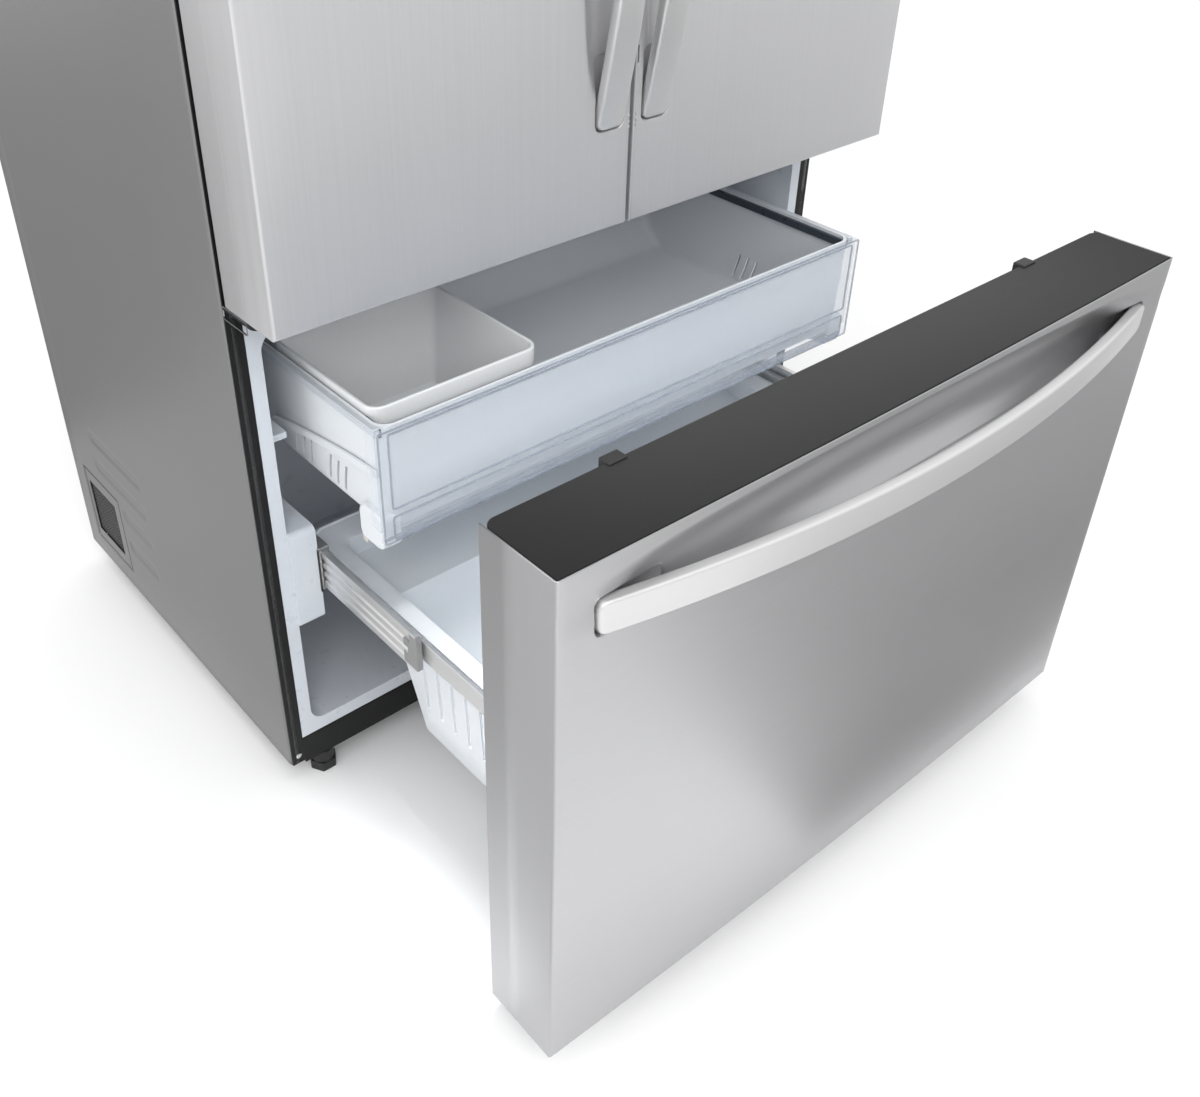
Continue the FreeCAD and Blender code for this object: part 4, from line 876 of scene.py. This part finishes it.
def rails():
    """Telescopic runners: capped outer channel, ribbed middle slide with its end bracket, thin inner slide."""
    for side, name in ((-1, "left"), (1, "right")):
        def across(a, b):
            return sorted((side * a * MM, side * b * MM))

        z0, z1 = 0.306, 0.364
        outer_low, outer_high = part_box("drawer_rails_outer")
        channel = ((0, 0), (14, 0), (14, 58), (0, 58), (0, 55), (11.5, 55), (11.5, 3), (0, 3))
        outline = [(side * (370 + u) * MM, z0 + v * MM) for u, v in channel]
        prism(f"rail_outer_{name}", outline, "y", outer_low.y, outer_high.y, DARK_ZINC, "cabinet", 0.5 * MM,
              replaces=("drawer_rails_outer",) if side < 0 else (), slot="rail_steel")
        middle_low, middle_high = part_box("drawer_rails_middle")
        ribs = [(373, 3), (381, 3), (381, 10)]
        for g in (12, 25, 38):
            ribs += [(381, g), (379, g + 1.5), (379, g + 6.5), (381, g + 8)]
        ribs += [(381, 55), (373, 55)]
        outline = [(side * u * MM, z0 + v * MM) for u, v in ribs]
        prism(f"rail_middle_{name}", outline, "y", middle_low.y, middle_high.y, ZINC, "rail_slides", 0.6 * MM,
              replaces=("drawer_rails_middle",) if side < 0 else (), slot="rail_steel")
        inner_low, inner_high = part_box("drawer_rails_inner")
        x0, x1 = across(366.2, 371.8)
        block(f"rail_inner_{name}", x0, x1, inner_low.y, inner_high.y, 0.322, 0.350, ZINC, "freezer_drawer", 0,
              1.2 * MM, replaces=("drawer_rails_inner",) if side < 0 else (), slot="rail_steel")
        teeth = [(0, 0), (26, 0), (26, 16), (18, 16), (18, 24), (26, 24), (26, 34), (14, 34), (14, 46), (0, 46)]
        outline = [(depth_y(-0.097) + u * MM, 0.312 + v * MM) for u, v in teeth]
        a, b = across(374.0, 381.35)
        prism(f"rail_bracket_{name}", outline, "x", a, b, GALVANISED, "rail_slides", 0.3 * MM, slot="rail_steel")
        a, b = across(384.3, 385.8)
        block(f"rail_cap_edge_{name}", a, b, outer_low.y - 0.2 * MM, outer_low.y + 12 * MM, z0 - 3 * MM, z1 + 3 * MM,
              BLACK_PLASTIC, "cabinet", 0, 0.4 * MM, slot="rail_steel")
        a, b = across(370.2, 386)
        block(f"rail_cap_{name}", a, b, outer_low.y - 0.1 * MM, outer_low.y + 60 * MM, z1 + 0.2 * MM, z1 + 3.6 * MM,
              GALVANISED, "cabinet", 0, 1.0 * MM, slot="rail_steel")


# ---------------------------------------------------------------- stage, light and camera

def floor():
    """A pale plain floor, wide enough for every view."""
    mesh = bpy.data.meshes.new("floor")
    reach = 14
    corners = [(-reach, -reach, 0), (reach, -reach, 0), (reach, reach, 0), (-reach, reach, 0)]
    mesh.from_pydata(corners, [], [(0, 1, 2, 3)])
    thing = bpy.data.objects.new("floor", mesh)
    bpy.context.scene.collection.objects.link(thing)
    mesh.materials.append(finish_of("pale_floor", (0.93, 0.93, 0.93), 0.85, 0.0, (3, 3, 3), 0.004, 0.0, 0.03,
                                    Specular_IOR_Level=0.1))


def softbox(name, place, target, size, power, seen=True, spread=180):
    """A soft area light aimed at a point; seen says whether reflections show it."""
    light = bpy.data.lights.new(name, "AREA")
    light.shape = "RECTANGLE"
    light.size, light.size_y = size
    light.energy = power
    light.spread = math.radians(spread)
    thing = bpy.data.objects.new(name, light)
    thing.location = place
    thing.rotation_euler = (Vector(target) - Vector(place)).to_track_quat("-Z", "Y").to_euler()
    thing.visible_camera = False
    thing.visible_glossy = seen
    bpy.context.scene.collection.objects.link(thing)


def flag(name, corners, shade):
    """A studio card lying on the floor that only reflections see, so that steel grades across its width."""
    mesh = bpy.data.meshes.new(name)
    mesh.from_pydata([(x, y, 0.004) for x, y in corners], [], [tuple(range(len(corners)))])
    thing = bpy.data.objects.new(name, mesh)
    bpy.context.scene.collection.objects.link(thing)
    mesh.materials.append(finish_of(name, grey(shade), 0.9, 0.0, (3, 3, 3), 0.02, 0.0, 0.03, Specular_IOR_Level=0.0))
    thing.visible_camera = False
    thing.visible_diffuse = False
    thing.visible_shadow = False


def stage():
    """Floor, cards, lights, and a white sky that darkens towards the horizon."""
    floor()
    flag("front_flag", [(0.0, -0.66), (2.6, -0.66), (3.4, -3.0), (0.9, -3.0)], 190)
    flag("right_flag", [(-0.02, -0.612), (1.4, -0.612), (1.5, -0.92), (0.42, -0.92)], 140)
    flag("left_flag", [(-0.6, -1.0), (-0.47, 1.0), (-2.6, 1.0), (-2.6, -1.0)], 205)
    flag("rear_flag", [(-0.47, 1.0), (-0.7, 4.0), (-3.6, 4.0), (-3.0, 1.0)], 125)
    scene = bpy.context.scene
    world = bpy.data.worlds.new("studio")
    world.use_nodes = True
    tree = world.node_tree
    tree.nodes["Background"].inputs["Color"].default_value = (1, 1, 1, 1)
    coordinates = tree.nodes.new("ShaderNodeTexCoord")
    split = tree.nodes.new("ShaderNodeSeparateXYZ")
    climb = tree.nodes.new("ShaderNodeMapRange")
    for socket, setting in (("From Min", 0.0), ("From Max", 0.55), ("To Min", 0.56), ("To Max", 1.09)):
        climb.inputs[socket].default_value = setting
    tree.links.new(coordinates.outputs["Generated"], split.inputs["Vector"])
    tree.links.new(split.outputs["Z"], climb.inputs["Value"])
    tree.links.new(climb.outputs["Result"], tree.nodes["Background"].inputs["Strength"])
    scene.world = world
    scene.view_settings.view_transform = "Standard"
    softbox("key", (-1.8, -3.4, 3.6), (0, -0.2, 0.7), (3.5, 3.0), 100)
    softbox("side", (-4.2, 0.4, 1.6), (0, 0.2, 0.6), (2.6, 2.0), 40)
    softbox("over_drawer", (0, -0.42, 1.35), (0, -0.42, 0.4), (0.75, 0.12), 2.4, seen=False, spread=40)


def camera():
    """The photograph's view: its direction, distance and off-centre framing."""
    data = bpy.data.cameras.new("camera")
    focal, centre_x, centre_y = 1256.0, 531.9, 472.7
    wide, tall = 1200, 1097
    data.sensor_width = 36.0
    data.sensor_fit = "HORIZONTAL"
    data.lens = focal / wide * data.sensor_width
    data.shift_x = 0.5 - centre_x / wide
    data.shift_y = (centre_y - tall / 2) / wide
    data.clip_start = 0.02
    thing = bpy.data.objects.new("camera", data)
    azimuth, elevation = 0.6850, -0.6005
    forward = Vector((math.sin(azimuth) * math.cos(elevation), math.cos(azimuth) * math.cos(elevation),
                      math.sin(elevation)))
    eye = (-0.9288, -1.1017, 1.277)
    thing.location = eye
    thing.rotation_euler = forward.to_track_quat("-Z", "Y").to_euler()
    bpy.context.scene.collection.objects.link(thing)
    bpy.context.scene.camera = thing


def main():
    camera()
    stage()
    finish_nodes()
    door_front(-1, "left")
    door_front(1, "right")
    door_inside(-1, "left")
    door_inside(1, "right")
    drawer_front()
    drawer_inside()
    gaskets()
    cabinet()
    vent_grilles()
    upper_tray()
    clear_front()
    tray_corner_guides()
    ice_bin()
    basket()
    rails()
    feet()
    hinge_edges()


main()
